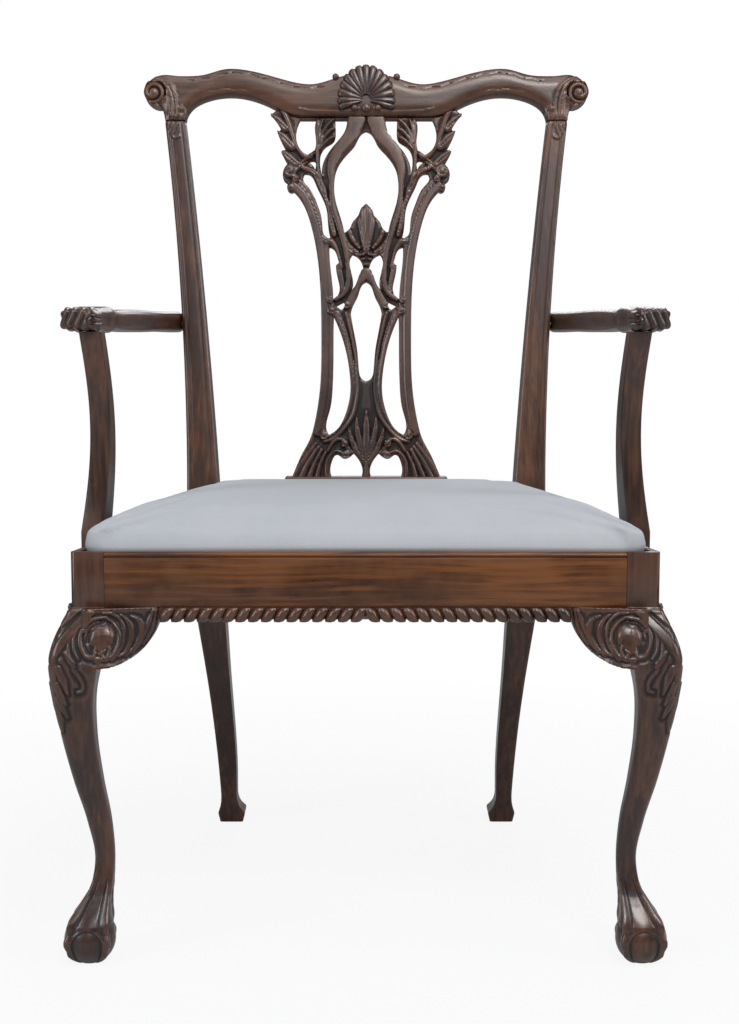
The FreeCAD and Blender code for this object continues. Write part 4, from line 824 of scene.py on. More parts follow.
# Kind of cut, height, line from the top down or from root to tip, half widths
SPLAT_STROKES = (
    ("stepped", 3.6, [(93, 441), (81, 427), (72, 406), (65, 382), (58, 350), (54, 310), (52.5, 270),
                      (52.4, 220), (53.5, 168), (58, 132), (63, 108)],
     [10, 9.6, 9.4, 9.2, 9.2, 9.2, 9.2, 9.4, 9.4, 9.6, 9]),
    ("flat", 4.2, [(13, 532), (20, 512), (30, 499), (41, 484), (47.5, 466), (46.8, 450), (46.2, 430),
                   (44.5, 410), (39, 392), (33.5, 374), (29, 358), (25.8, 342), (24.2, 326), (24.5, 311),
                   (27, 299), (33, 291), (41, 286)],
     [13, 11, 9.5, 8.5, 6.5, 5, 4.6, 4.5, 4.4, 4.2, 4.2, 4.1, 4.0, 3.9, 3.8, 3.6, 3.2]),
    ("husk", 4.2, [(86, 466), (70, 458), (60, 438), (54, 420)], [3.5, 5.5, 6.5, 3]),
    ("husk", 4.2, [(58, 432), (52, 412), (48, 392), (43, 374)], [4, 5.5, 5, 4]),
    ("round", 3.6, [(99, 456), (91, 466), (80, 474)], [2.4, 2.6, 1.6]),
    ("round", 3.6, [(97, 462), (88, 473), (78, 480)], [2.2, 2.4, 1.6]),
    ("round", 3.8, [(65.5, 530), (66.5, 505), (66.5, 485), (66, 468), (62, 452)], [3.4, 3.4, 3.3, 3.2, 3]),
    ("round", 4.2, [(63, 496), (60, 512), (53, 524), (45, 532)], [2.2, 3.4, 3.6, 2.2]),
    ("round", 4.2, [(63, 494), (58, 506), (50, 516), (43, 520)], [2.2, 3.2, 3.4, 2.2]),
    ("round", 4.2, [(63, 491), (56, 500), (49, 506), (44, 508)], [2.2, 3.0, 3.0, 2.0]),
    ("round", 4.2, [(64.5, 500), (63.5, 518), (59, 532)], [2.2, 2.8, 2.4]),
    ("round", 4.4, [(114, 548), (106, 529), (100, 511), (93, 494), (84, 482), (76, 481), (73, 487)],
     [4.8, 4.8, 4.6, 4.4, 4.2, 4.0, 3.6]),
    ("husk", 4.8, [(110, 520), (121, 530), (134, 541)], [6.5, 8, 2.5]),
    ("husk", 4.8, [(101, 495), (112, 506), (124, 517)], [6.5, 8, 2.5]),
    ("husk", 4.8, [(95, 471), (106, 480), (118, 491)], [6.5, 7.6, 2.5]),
    ("round", 3.6, [(52, 365), (46, 364), (41, 355), (37.5, 342), (34, 330)], [5, 5, 4.2, 4.0, 3.4]),
    ("husk", 3.8, [(38, 331), (35, 318), (32.5, 305), (33, 296)], [5, 4.6, 4.2, 3]),
    ("stepped", 3.4, [(40, 266), (29.5, 239), (22, 208), (18.3, 185), (17.5, 161), (23, 132), (36, 110.5),
                      (50, 99)], [5.6, 4.8, 4.4, 4.3, 4.4, 4.8, 4.8, 4.4]),
    ("round", 3.2, [(27.5, 268), (21, 241), (15.3, 212), (12.5, 190), (11, 166), (12.3, 152), (17.5, 130),
                    (30, 110), (44, 97), (56, 93)], [3.0, 2.6, 2.4, 2.4, 2.6, 2.8, 3.0, 3.0, 3.0, 3.2]),
    ("flat", 3.8, [(0, 323), (8, 311), (13, 299), (19, 288), (24, 279)], [6, 6, 6, 6, 5.6]),
    ("petal", 4.8, [(0, 352), (0, 372), (0, 392), (0, 406), (0, 416)], [5, 10.5, 13, 9, 2]),
    ("husk", 4.0, [(9, 356), (17, 366), (22, 377), (24, 388)], [3, 4, 4, 2]),
    ("husk", 3.8, [(12, 350), (22, 357), (28, 367), (30, 376)], [3, 4, 3.6, 2]),
    ("round", 3.8, [(4, 347), (14, 346), (23, 352), (28, 360)], [2.2, 2.6, 2.6, 1.6]),
    ("round", 3.6, [(3, 341), (12, 339), (20, 344), (25, 351)], [2.2, 2.6, 2.6, 1.6]),
    ("round", 3.4, [(0, 334), (8, 332), (15, 336), (20, 342)], [2.2, 2.4, 2.4, 1.6]),
    ("round", 3.4, [(0, 327), (6, 325), (11, 328)], [2.2, 2.4, 1.8]),
    ("husk", 4.2, [(0, 62), (0, 90), (0, 115), (0, 134)], [3, 6, 5.5, 2]),
    ("husk", 4.0, [(2, 64), (8, 88), (12, 108), (13, 124)], [3, 5, 4.6, 2]),
    ("husk", 3.8, [(4, 64), (14, 82), (20, 96), (23, 110)], [3, 4.8, 4.2, 2]),
    ("husk", 3.6, [(5, 62), (17, 74), (25, 84), (30, 94)], [2.6, 4.2, 3.8, 2]),
    ("round", 3.8, [(0, 40), (0, 52), (0, 62)], [5, 4.2, 4]),
    ("round", 3.6, [(33, 78), (41, 80), (48, 75), (53, 65), (54, 50), (53, 42)], [3, 3, 3, 3, 3, 3]),
    ("round", 3.6, [(30, 95), (38, 96), (46, 90), (52, 80)], [3, 3, 3, 2.6]),
    ("round", 3.8, [(68, 90), (84, 68), (97, 46)], [3.4, 4.6, 5.4]),
    ("round", 3.6, [(64, 86), (77, 66), (88, 44)], [3.0, 4.2, 4.8]),
    ("round", 3.4, [(60, 82), (69, 64), (78, 42)], [2.6, 3.6, 4.4]),
    ("round", 3.2, [(55, 78), (62, 62), (67, 42)], [2.4, 3.2, 4.2]),
)
# Rolled scroll ends: place and radius
SPLAT_BOSSES = ((49, 284, 4.4), (47, 270.5, 6.0), (57, 101, 6.4), (28, 75.5, 5.6), (29, 90, 5.5),
                (74, 486, 4.8), (27, 278, 5.6), (96, 451, 5.4), (103.5, 461, 9.2), (103, 439, 4.6))


def splat_relief(points, distance):
    """Heights of the splat's carving, alike on both sides of its middle."""
    q = np.column_stack((np.abs(points[:, 0]), points[:, 1]))
    strokes = [(Stroke(p, w), kind, height * SPLAT_DEPTH) for kind, height, p, w in SPLAT_STROKES]
    z = carve(q, strokes, SPLAT_FLOOR)
    for x, h, radius in SPLAT_BOSSES:
        r = np.hypot(q[:, 0] - x, q[:, 1] - h)
        turn = np.arctan2(q[:, 1] - h, q[:, 0] - x)
        roll = 0.5 + 0.5 * np.cos(2 * math.pi * r / (radius * 0.62) + turn)
        top = 2.2 - 1.5 * (1 - roll) * smooth(0.2, 0.45, r / radius) - 2.4 * smooth(0.82, 1.0, r / radius)
        within = r < radius
        z[within] = np.maximum(z[within], top[within])
    return z - 1.1 * (1 - smooth(0, 1.4, distance)) ** 2


def splat():
    loops = face_loops("splat", SPLAT_BACK)
    mesh = board(loops, SPLAT_FRONT, SPLAT_BACK, splat_relief, 1.3, 1.45)
    timber("splat_carved", mesh, MAHOGANY, "splat", grain="back", seed=21, angle=58, gain=1.2)


# Crest rail

STILE_TOP_X = 259.5
STILE_TOP = 530.0
EAR = (STILE_TOP_X + 29.5, STILE_TOP + 38.0)
EAR_RADIUS = 17.0
EAR_PITCH = 7.6                  # of the spiral
EAR_EYE = 5.3
CREST_BACK = 26.0
CREST_ROUND = 17.0               # width over which the crest rounds off to its edges

# Kind of cut, height, line and half widths
CREST_STROKES = (
    ("round", 1.6, [(288, 590), (276, 586.5), (265, 577), (258, 563), (256, 548), (256, 528)],
     [1.6, 2.4, 2.6, 2.4, 2.2, 2.0]),
    ("round", 1.4, [(282, 583), (272, 577), (265, 565), (262, 550), (261.5, 528)], [1.4, 2.0, 2.1, 2.0, 1.8]),
    ("round", 1.2, [(276, 574), (270, 566), (267, 552), (266.5, 528)], [1.4, 1.9, 1.9, 1.7]),
    ("round", 1.2, [(10, 545), (16, 541.5), (30, 540.5), (52, 540.5), (74, 541.5), (92, 545)],
     [1.6, 2.2, 2.2, 2.2, 2.0, 1.2]),
)
CREST_BEADS = ((284, 549, 3.8), (250.5, 545, 4.2))


def crest_relief(points, distance):
    """Heights of the crest: rounded edges, wavy line along its top, leaves, ear scrolls and beads."""
    x = np.abs(points[:, 0])
    h = points[:, 1]
    q = np.column_stack((x, h))
    joint = bell(x - STILE_TOP_X, 16) * (1 - smooth(STILE_TOP + 6, STILE_TOP + 16, h))
    z = -5.0 * (1 - np.clip(distance / CREST_ROUND, 0, 1)) ** 2.2 * (1 - joint)
    top = smooth(STILE_TOP + 34, STILE_TOP + 42, h)
    run = smooth(44, 56, x) * (1 - smooth(236, 248, x))
    wave = distance - 5.6 - 1.8 * np.abs(np.sin(x * 0.14))
    z = z + top * run * (0.6 * bell(wave + 2.4, 1.6) - 1.2 * bell(wave, 1.0) + 0.3 * bell(wave - 2.0, 1.2))
    for kind, height, line, widths in CREST_STROKES:
        index, t, side, s, w = Stroke(line, widths).near(q)
        on = t < 1
        index = index[on]
        fade = smooth(STILE_TOP, STILE_TOP + 6, h[index])
        z[index] = z[index] + cut(kind, t[on], side[on], s[on], w[on], height) * fade
    r = np.hypot(x - EAR[0], h - EAR[1])
    turn = np.arctan2(h - EAR[1], x - EAR[0])
    spiral = np.mod(r / EAR_PITCH - turn / (2 * math.pi) + 0.35, 1.0)
    groove = bell(np.minimum(spiral, 1 - spiral), 0.19)
    scroll = 1.1 - 4.4 * groove - 2.4 * smooth(EAR_RADIUS - 3.0, EAR_RADIUS, r) ** 2
    eye = 1.6 * np.sqrt(np.maximum(0, 1 - (r / EAR_EYE) ** 2)) + 0.4
    scroll = np.where(r < EAR_EYE, eye, scroll)
    z = np.where(r < EAR_RADIUS, scroll, z)
    for bx, bh, radius in CREST_BEADS:
        rb = np.hypot(x - bx, h - bh)
        dome = 2.2 * np.sqrt(np.maximum(0, 1 - (rb / radius) ** 2))
        z = np.where(rb < radius, np.maximum(z, z * 0.3 + dome), z)
    return z


SHELL_ROOT = (0.0, 556.5)
SHELL_RIBS = 15
SHELL_SPREAD = 116.0             # degrees to each side of upright
SHELL_WIDTH = 41.0
SHELL_HEIGHT = 50.5
SHELL_BACK = 9.0


def shell():
    """Fan of round ribs with a scalloped rim, closed behind."""
    rows = 34
    columns = SHELL_RIBS * 10
    span = math.radians(SHELL_SPREAD)
    co = []
    for j in range(columns + 1):
        a = span * (j / columns * 2 - 1)
        across = 2 * ((j / columns * SHELL_RIBS) % 1.0) - 1
        rib = math.sqrt(max(0.0, 1 - across ** 2)) if 0 < j < columns else 0.0
        lean = math.cos(a)
        ex = SHELL_WIDTH * math.sin(a)
        eh = SHELL_HEIGHT * (lean if lean > 0 else 0.68 * lean)
        scallop = 1 - 0.05 * (1 - rib)
        for i in range(rows + 1):
            r = i / rows
            grow = (0.16 + 0.84 * r) * scallop
            body = 5.2 * math.sin(math.pi * min(1.0, 0.22 + 0.62 * r)) + 1.6
            ridge = (0.4 + 1.7 * r) * (rib - 0.55)
            lip = -5.5 * max(0.0, (r - 0.86) / 0.14) ** 2
            co.append((SHELL_ROOT[0] + ex * grow, 2.0 - body - ridge - lip, SHELL_ROOT[1] + eh * grow))
    back = [(p[0], SHELL_BACK, p[2]) for p in co]
    faces = []
    n = rows + 1
    total = len(co)
    for j in range(columns):
        for i in range(rows):
            a, b, c, d = j * n + i, (j + 1) * n + i, (j + 1) * n + i + 1, j * n + i + 1
            faces.append((a, b, c, d))
            faces.append((total + d, total + c, total + b, total + a))
    ring = [j * n for j in range(columns + 1)] + [columns * n + i for i in range(1, n)]
    ring += [j * n + rows for j in range(columns - 1, -1, -1)] + [i for i in range(rows - 1, 0, -1)]
    for a, b in zip(ring, ring[1:] + ring[:1]):
        faces.append((a, total + a, total + b, b))
    return closed_mesh("shell", from_back(co + back), faces, merge=1e-6)


def ball(centre, radius, squash=1.0):
    """Bead on the back, flattened in depth."""
    bm = bmesh.new()
    bmesh.ops.create_uvsphere(bm, u_segments=28, v_segments=18, radius=radius * MM)
    bmesh.ops.scale(bm, vec=(1, squash, 1), verts=bm.verts)
    bmesh.ops.rotate(bm, matrix=Matrix.Rotation(-BACK_RAKE, 3, "X"), verts=bm.verts)
    bmesh.ops.translate(bm, vec=Vector(from_back([centre])[0]), verts=bm.verts)
    return to_mesh(bm, "bead")


def joined(meshes, name):
    """One mesh of several, which are given up."""
    bm = bmesh.new()
    for mesh in meshes:
        bm.from_mesh(mesh)
        bpy.data.meshes.remove(mesh)
    return to_mesh(bm, name)


def crest():
    loops = face_loops("crest_rail", CREST_BACK)
    mesh = board(loops, 0.0, CREST_BACK, crest_relief, 1.6, 1.9)
    timber("crest_rail_carved", mesh, CREST_WOOD, "crest_rail", grain="x", seed=31, angle=62, gain=1.2)
    timber("crest_shell", shell(), MAHOGANY, grain="back", seed=32, angle=75)
    beads = []
    for s in (-1, 1):
        beads.append(ball((s * 15.7, -3.0, 545.0), 4.5, 0.8))
        beads.append(ball((s * 41.5, 4.7, 590.0), 4.6))
    beads.append(ball((0, -1.5, 545.5), 6.0, 0.6))
    timber("shell_beads", joined(beads, "beads"), MAHOGANY, grain="back", seed=33, angle=80)


# Front legs: carved knees, ball and claw feet

LEG_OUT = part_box("front_leg_right")[1].x / MM
LEG_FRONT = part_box("front_leg_right")[0].y / MM
POST_BOTTOM = 400.0
POST_HALF = 18.5
LEG_AXIS = (301.5, LEG_FRONT + 41.0)

# Height, swing outwards along the corner, half width and corner radius share of the shaft
SHAFT = np.array((
    (0.0, 5.6, 23.0, 0.70),
    (30.0, 5.6, 23.0, 0.70),
    (46.0, 4.6, 22.5, 0.70),
    (62.0, -0.4, 18.0, 0.72),
    (82.0, -6.8, 12.4, 0.80),
    (108.0, -10.0, 11.0, 0.84),
    (156.0, -5.6, 13.1, 0.74),
    (204.0, 3.7, 15.6, 0.66),
    (260.0, 12.2, 18.6, 0.58),
    (305.0, 15.8, 22.6, 0.50),
    (341.0, 14.0, 27.0, 0.40),
    (372.0, 8.2, 24.5, 0.30),
    (400.0, 0.0, 18.4, 0.20),
))
BALL_HEIGHT = 25.0
BALL_RADIUS = 28.5
# Half width of the spreading foot, and height of a tendon on its corners, over the floor
FOOT_HALF = ((34, 28.6), (44, 26.4), (55, 21.6), (64, 17.6), (74, 14.0), (89, 11.6), (110, 11.0))
TENDON = ((0, 0.8), (5, 2.6), (10, 4.3), (16, 3.0), (23, 5.4), (28, 5.6), (36, 3.2), (42, 5.4), (48, 5.6),
          (56, 3.8), (70, 3.0), (88, 1.6), (106, 0.0))
WEB_ARCH = 40.5                  # top of the web's edge over the ball
WEB_DROP = 19.0                  # from there down to the claws
WEB_LIP = 1.3

# Kind of cut, its height, line as distance from the leg's outer corner and height, half widths
KNEE_STROKES = (
    ("round", 2.4, [(53.5, 344.5), (51.5, 350), (53, 358), (58, 362), (64, 362), (67.5, 357), (66, 350),
                    (61.5, 348), (59.5, 353), (63, 356)], [2, 2, 2, 2, 2, 2, 2, 2, 2, 1.6]),
    ("round", 2.8, [(62.5, 390.5), (48.5, 388), (39.5, 380), (35.5, 371), (36.5, 360), (42.5, 350),
                    (50.5, 349), (52.5, 353)], [2, 2.6, 2.8, 2.8, 2.8, 2.6, 2.4, 2]),
    ("round", 1.8, [(60, 386), (50, 384), (43, 377), (41, 368)], [1.2, 1.5, 1.5, 1.2]),
    ("round", 2.4, [(62.5, 390), (72.5, 382), (77.5, 372), (76.5, 360), (70.5, 350), (62.5, 346), (56, 347)],
     [1.6, 2.2, 2.4, 2.4, 2.2, 2, 1.6]),
    ("round", 2.2, [(60, 395), (70, 393.5), (79, 386), (82.5, 376), (81.5, 363), (77.5, 354), (70.5, 346)],
     [1.6, 2, 2.2, 2.2, 2, 2, 1.6]),
    ("round", 2.4, [(78.5, 392.5), (86, 386), (89.8, 378), (89.5, 366), (84.5, 354), (77.5, 349)],
     [1.5, 2.6, 3.2, 3, 2.4, 1.5]),
    ("round", 2.6, [(89.5, 391), (98, 386), (101, 378), (99.5, 368), (92.5, 357), (84.5, 349)],
     [1.5, 3, 4, 3.6, 2.6, 1.5]),
    ("round", 2.4, [(112.5, 396), (109, 386), (105, 376), (99, 363), (91, 352)], [2, 3, 3.2, 2.8, 2]),
    ("round", 2.2, [(116, 396), (113.5, 384), (109, 372), (102, 360)], [1.5, 2.2, 2.5, 1.8]),
    ("flat", 2.2, [(1, 340), (10, 356), (24, 374), (38, 388), (48, 396)], [3, 5, 5.2, 5, 4]),
    ("flat", 2.2, [(6, 378), (18, 388), (30, 397)], [3.6, 5, 4]),
    ("round", 1.8, [(33, 378), (28.5, 368), (29, 356), (34, 347)], [1.4, 1.9, 1.9, 1.4]),
    ("round", 1.8, [(27, 372), (23, 362), (24, 350), (30, 342)], [1.4, 1.9, 1.9, 1.4]),
    ("round", 2.2, [(19.5, 354), (25, 345), (29.5, 338)], [2, 3, 2]),
    ("round", 2.0, [(28.5, 335), (35.5, 326), (38.5, 318), (37.5, 312), (33, 310)], [1.8, 2, 2, 2, 1.8]),
    ("husk", 2.4, [(12, 336), (17, 324), (21.5, 308)], [4, 4.6, 1.5]),
    ("husk", 2.4, [(10, 318), (14, 306), (19.5, 296)], [4, 4.6, 1.5]),
    ("husk", 2.2, [(11, 304), (15, 293), (20.5, 281)], [4, 4.4, 1.5]),
    ("husk", 2.0, [(9, 290), (12, 278), (13.5, 266)], [4, 4.2, 1.5]),
    ("round", 1.2, [(4, 345), (5, 320), (7, 295), (10, 270)], [6, 6, 5.5, 4]),
)
KNEE_BOSS = (58.5, 371.0, 15.0, 4.2)  # place, radius and height
KNEE_GROUND = 7.0                # width of the sunk ground beside the cuts
KNEE_FROM, KNEE_TO = 255.0, 399.5  # heights between which the knee is carved
KNEE_REACH = 124.0               # from the leg's outer corner to the end of the carving
BLOCK_LET_IN = 3.0               # of a knee block's rounded edge into the leg, so no groove shows
BLOCK_MEETS = (106.0, 60.0)      # from the leg's outer corner: where a block starts to swell, where it has
LEG_AROUND = 200                 # points round the shaft


def knee_height(u, z):
    """Heights of the knee's carving, u from the leg's outer corner inwards."""
    q = np.column_stack((u, z))
    strokes = [(Stroke(p, w), kind, height) for kind, height, p, w in KNEE_STROKES]
    height = carve(q, strokes, 0.0)
    x, h, radius, rise = KNEE_BOSS
    r = np.hypot(u - x, z - h)
    dome = rise * np.sqrt(np.maximum(0, 1 - (r / radius) ** 2)) - 0.6
    height = np.where(r < radius, np.maximum(height, dome), height)
    away = np.full(len(q), 99.0)
    for stroke, _, _ in strokes:
        index, t, _, _, w = stroke.near(q, KNEE_GROUND)
        away[index] = np.minimum(away[index], np.maximum(0, t - 1) * w)
    sunk = 1.5 * (1 - smooth(1.5, KNEE_GROUND, away)) * (1 - smooth(392, 398, z))
    return (height - sunk) * (1 - smooth(394, 399, z))


def carve_knee(mesh):
    """Lays the knee's carving on the outward faces of a leg or knee block."""
    co = coords(mesh) / MM
    no = normals(mesh)
    across = LEG_OUT - co[:, 0]
    depth = co[:, 1] - LEG_FRONT
    u = np.maximum(across, depth)
    near = (co[:, 2] > KNEE_FROM) & (co[:, 2] < KNEE_TO) & (u < KNEE_REACH)
    facing = smooth(0.1, 0.5, np.maximum(no[:, 0], -no[:, 1])) * smooth(-0.35, -0.05, no[:, 0] - no[:, 1])
    lift = np.zeros(len(co))
    lift[near] = knee_height(u[near], co[near, 2]) * facing[near]
    co = co + no * lift[:, None]
    co[:, 0] = np.minimum(co[:, 0], LEG_OUT)
    co[:, 1] = np.maximum(co[:, 1], LEG_FRONT)
    set_coords(mesh, co * MM)


def shaft_at(z):
    """Swing, half width and corner share of the shaft at heights, smooth between the drawn rows."""
    row = SHAFT[:, 0]
    slope = np.gradient(SHAFT[:, 1:], row, axis=0)
    k = np.clip(np.searchsorted(row, z, "right") - 1, 0, len(row) - 2)
    run = row[k + 1] - row[k]
    t = ((z - row[k]) / run)[:, None]
    a, b = SHAFT[k, 1:], SHAFT[k + 1, 1:]
    da, db = slope[k] * run[:, None], slope[k + 1] * run[:, None]
    ends = a * (1 + 2 * t) * (1 - t) ** 2 + da * t * (1 - t) ** 2
    return ends + b * t ** 2 * (3 - 2 * t) - db * t ** 2 * (1 - t)


def rounded_reach(c, s, half, radius):
    """Distance from the middle of a rounded square to its edge, in a direction."""
    c, s = np.maximum(abs(c), abs(s)), np.minimum(abs(c), abs(s))
    flat = half / c
    core = half - radius
    along = core * (c + s)
    corner = along + np.sqrt(np.maximum(0, along ** 2 - 2 * core ** 2 + radius ** 2))
    return np.where(flat * s <= core, flat, corner)


def foot_reach(turn, z):
    """Foot: tendons run down from the ankle to claws, web between them ends in an arch over the ball."""
    ball_part = np.sqrt(np.maximum(0, BALL_RADIUS ** 2 - (z - BALL_HEIGHT) ** 2))
    half = np.interp(z, *np.array(FOOT_HALF).T)
    c, s = np.abs(np.cos(turn)), np.abs(np.sin(turn))
    power = np.interp(z, (42, 78), (2.0, 3.2))
    square = half / (c ** power + s ** power) ** (1 / power)
    off = np.degrees(np.abs(np.mod(turn, math.pi / 2) - math.pi / 4))
    width = np.interp(z, (4, 25, 45, 75, 110), (8, 9, 8.2, 10, 18))
    ridge = np.interp(z, *np.array(TENDON).T) * bell(off, width)
    sink = 1.8 * smooth(96, 62, z) * (1 - bell(off, 18))
    groove = bell(off - np.interp(z, (40, 75, 110), (15, 18, 24)), 3.4)
    ridge = ridge - 1.5 * groove * smooth(40, 50, z) * smooth(100, 80, z)
    skin = ball_part + WEB_LIP
    web = skin + np.maximum(square - sink - skin, 0) * smooth(28, 42, z) + ridge
    bare = ball_part + ridge
    aside = np.clip((45 - off) / 36, 0, 1)
    arch = np.where(aside < 1, WEB_ARCH - WEB_DROP * (1 - np.sqrt(1 - aside ** 2)), -5.0)
    return bare + (web - bare) * smooth(arch - 0.9, arch + 0.9, z)


def leg_shaft():
    """Tube of the leg below its post, foot included."""
    heights = np.concatenate((np.arange(0.0, 60.0, 0.85), np.arange(60.0, POST_BOTTOM, 1.2), [POST_BOTTOM]))
    rows = shaft_at(heights)
    z = np.repeat(heights, LEG_AROUND)
    a = np.tile(np.arange(LEG_AROUND) * 2 * math.pi / LEG_AROUND, len(heights))
    swing, half, share = (np.repeat(rows[:, n], LEG_AROUND) for n in range(3))
    beside = smooth(322, 338, z) * (np.cos(2 * (a - math.pi / 4)) > 0)
    plain = rounded_reach(np.cos(a), np.sin(a), half, half * (share + (0.06 - share) * beside))
    foot = foot_reach(a, z)
    out = foot + (plain - foot) * smooth(92, 116, z)
    x = LEG_AXIS[0] + swing + np.cos(a) * out
    y = LEG_AXIS[1] - swing + np.sin(a) * out
    return closed_mesh("shaft", np.column_stack((x, y, z)) * MM, tube_faces(len(heights), LEG_AROUND))


def leg_post():
    """Post of the leg over the knee, with the rails' mortises."""
    mesh = softened("front_leg_right", 1.2)
    bm = bmesh.new()
    bm.from_mesh(mesh)
    kept = bm.verts[:] + bm.edges[:] + bm.faces[:]
    line = bmesh.ops.bisect_plane(bm, geom=kept, plane_co=(0, 0, POST_BOTTOM * MM), plane_no=(0, 0, -1),
                                  clear_outer=True)
    rim = [e for e in line["geom_cut"] if isinstance(e, bmesh.types.BMEdge)]
    bmesh.ops.holes_fill(bm, edges=rim, sides=0)
    for v in bm.verts:
        v.co.x = min(v.co.x, (LEG_AXIS[0] + POST_HALF) * MM)
        v.co.y = max(v.co.y, (LEG_AXIS[1] - POST_HALF) * MM)
    bm.to_mesh(mesh)
    bm.free()
    return mesh


def meet_leg(mesh, kind):
    """Draws the outer face of a knee block out to the leg's swelling, most where they meet."""
    co = coords(mesh) / MM
    no = normals(mesh)
    rows = shaft_at(np.clip(co[:, 2], 0, POST_BOTTOM))
    swell = rows[:, 0] + rows[:, 1]
    if kind == "front":
        co[:, 0] += BLOCK_LET_IN * smooth(0.2, 0.7, no[:, 0])
        want = LEG_AXIS[1] - swell - co[:, 1]
        share = smooth(*BLOCK_MEETS, LEG_OUT - co[:, 0]) * smooth(0.1, 0.6, -no[:, 1])
        co[:, 1] += np.minimum(want, 0) * share
    else:
        co[:, 1] -= BLOCK_LET_IN * smooth(0.2, 0.7, -no[:, 1]) * smooth(0.5, 0.1, np.abs(no[:, 0]))
        want = LEG_AXIS[0] + swell - co[:, 0]
        share = smooth(*BLOCK_MEETS, co[:, 1] - LEG_FRONT) * smooth(0.1, 0.6, no[:, 0])
        co[:, 0] += np.maximum(want, 0) * share
    set_coords(mesh, co * MM)


def front_legs():
    """Both front legs, each with two carved knee blocks."""
    shaft = leg_shaft()
    carve_knee(shaft)
    leg = joined([shaft, leg_post()], "leg")
    looks = {"grain": "z", "angle": 60, "gain": 1.3}
    timber_pair("front_leg_%s_carved", leg, MAHOGANY, "front_leg_%s", 41, **looks)
    for kind, seed in (("front", 43), ("side", 45)):
        source = "knee_block_" + kind + "_%s"
        block = remeshed(source % "right", 1.2, 2)
        meet_leg(block, kind)
        carve_knee(block)
        timber_pair("knee_ear_" + kind + "_%s", block, MAHOGANY, source, seed, **looks)


# Rear legs with the stiles

STILE_LAP = 1.5                  # of the stile over its joint with the crest
REAR_FOOT_X = 0.195              # a place inside the foot, where the sections start


def rear_leg_rows():
    """Level sections of the right rear leg's solid: middle, height and half sizes."""
    tree = cad_tree("rear_leg_right")
    low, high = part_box("rear_leg_right")
    top = from_back([(0, 0.5, STILE_TOP + STILE_LAP)])[0][2]
    heights = np.concatenate((np.linspace(0.0004, 0.06, 40), np.linspace(0.062, 0.40, 90),
                              np.linspace(0.402, top, 330)))
    rows = []
    hole_low, hole_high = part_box("arm_screws")
    x_mid = REAR_FOOT_X
    for z in heights:
        if hole_low.z - 0.002 < z < hole_high.z + 0.002:
            continue
        scan = np.linspace(low.y + 0.002, high.y - 0.002, 60)
        inside = [y for y in scan if is_inside(tree, x_mid, y, z)]
        if not inside:
            for x_try in np.linspace(low.x + 0.004, high.x - 0.004, 24):
                inside = [y for y in scan if is_inside(tree, x_try, y, z)]
                if inside:
                    x_mid = x_try
                    break
        if not inside:
            continue
        y_mid = (inside[0] + inside[-1]) / 2
        right = reach(tree, (x_mid, y_mid, z), (1, 0, 0))
        left = reach(tree, (x_mid, y_mid, z), (-1, 0, 0))
        x_mid = x_mid + (right - left) / 2
        wide = (right + left) / 2
        back = reach(tree, (x_mid, y_mid, z), (0, 1, 0))
        front = reach(tree, (x_mid, y_mid, z), (0, -1, 0))
        y_mid = y_mid + (back - front) / 2
        rows.append((x_mid / MM, y_mid / MM, z / MM, wide / MM, (back + front) / 2 / MM))
    rows = np.array(rows)
    return np.column_stack([np.interp(heights / MM, rows[:, 2], rows[:, n]) for n in range(5)])


def is_inside(tree, x, y, z):
    """Whether a point lies inside a closed surface, by the face it meets on its right."""
    hit = tree.ray_cast(Vector((x, y, z)), Vector((1, 0.0001, 0.0002)))
    return hit[0] is not None and hit[1].x > 0


def reach(tree, start, way):
    """Distance from a point to a surface, in a direction."""
    hit = tree.ray_cast(Vector(start), Vector(way))
    return hit[3] if hit[0] is not None else 0.01


# Ends of the crest's leaf, running down over the joint to a hook
STILE_LEAF = (
    ([(256, 531), (256.5, 523), (260, 513), (262.5, 507.5), (259, 504.5), (253.5, 507)],
     [2.0, 2.0, 2.0, 1.9, 1.8, 1.6]),
    ([(261.5, 531), (263, 521), (266, 512)], [1.8, 1.8, 1.2]),
    ([(266.5, 531), (268, 524), (269.5, 517)], [1.6, 1.6, 1.1]),
)


def stile_lines(t):
    """Depth of the two lines cut along a stile's front, t across it."""
    return -0.65 * (bell(t - 0.21, 0.036) + bell(t - 0.79, 0.036))


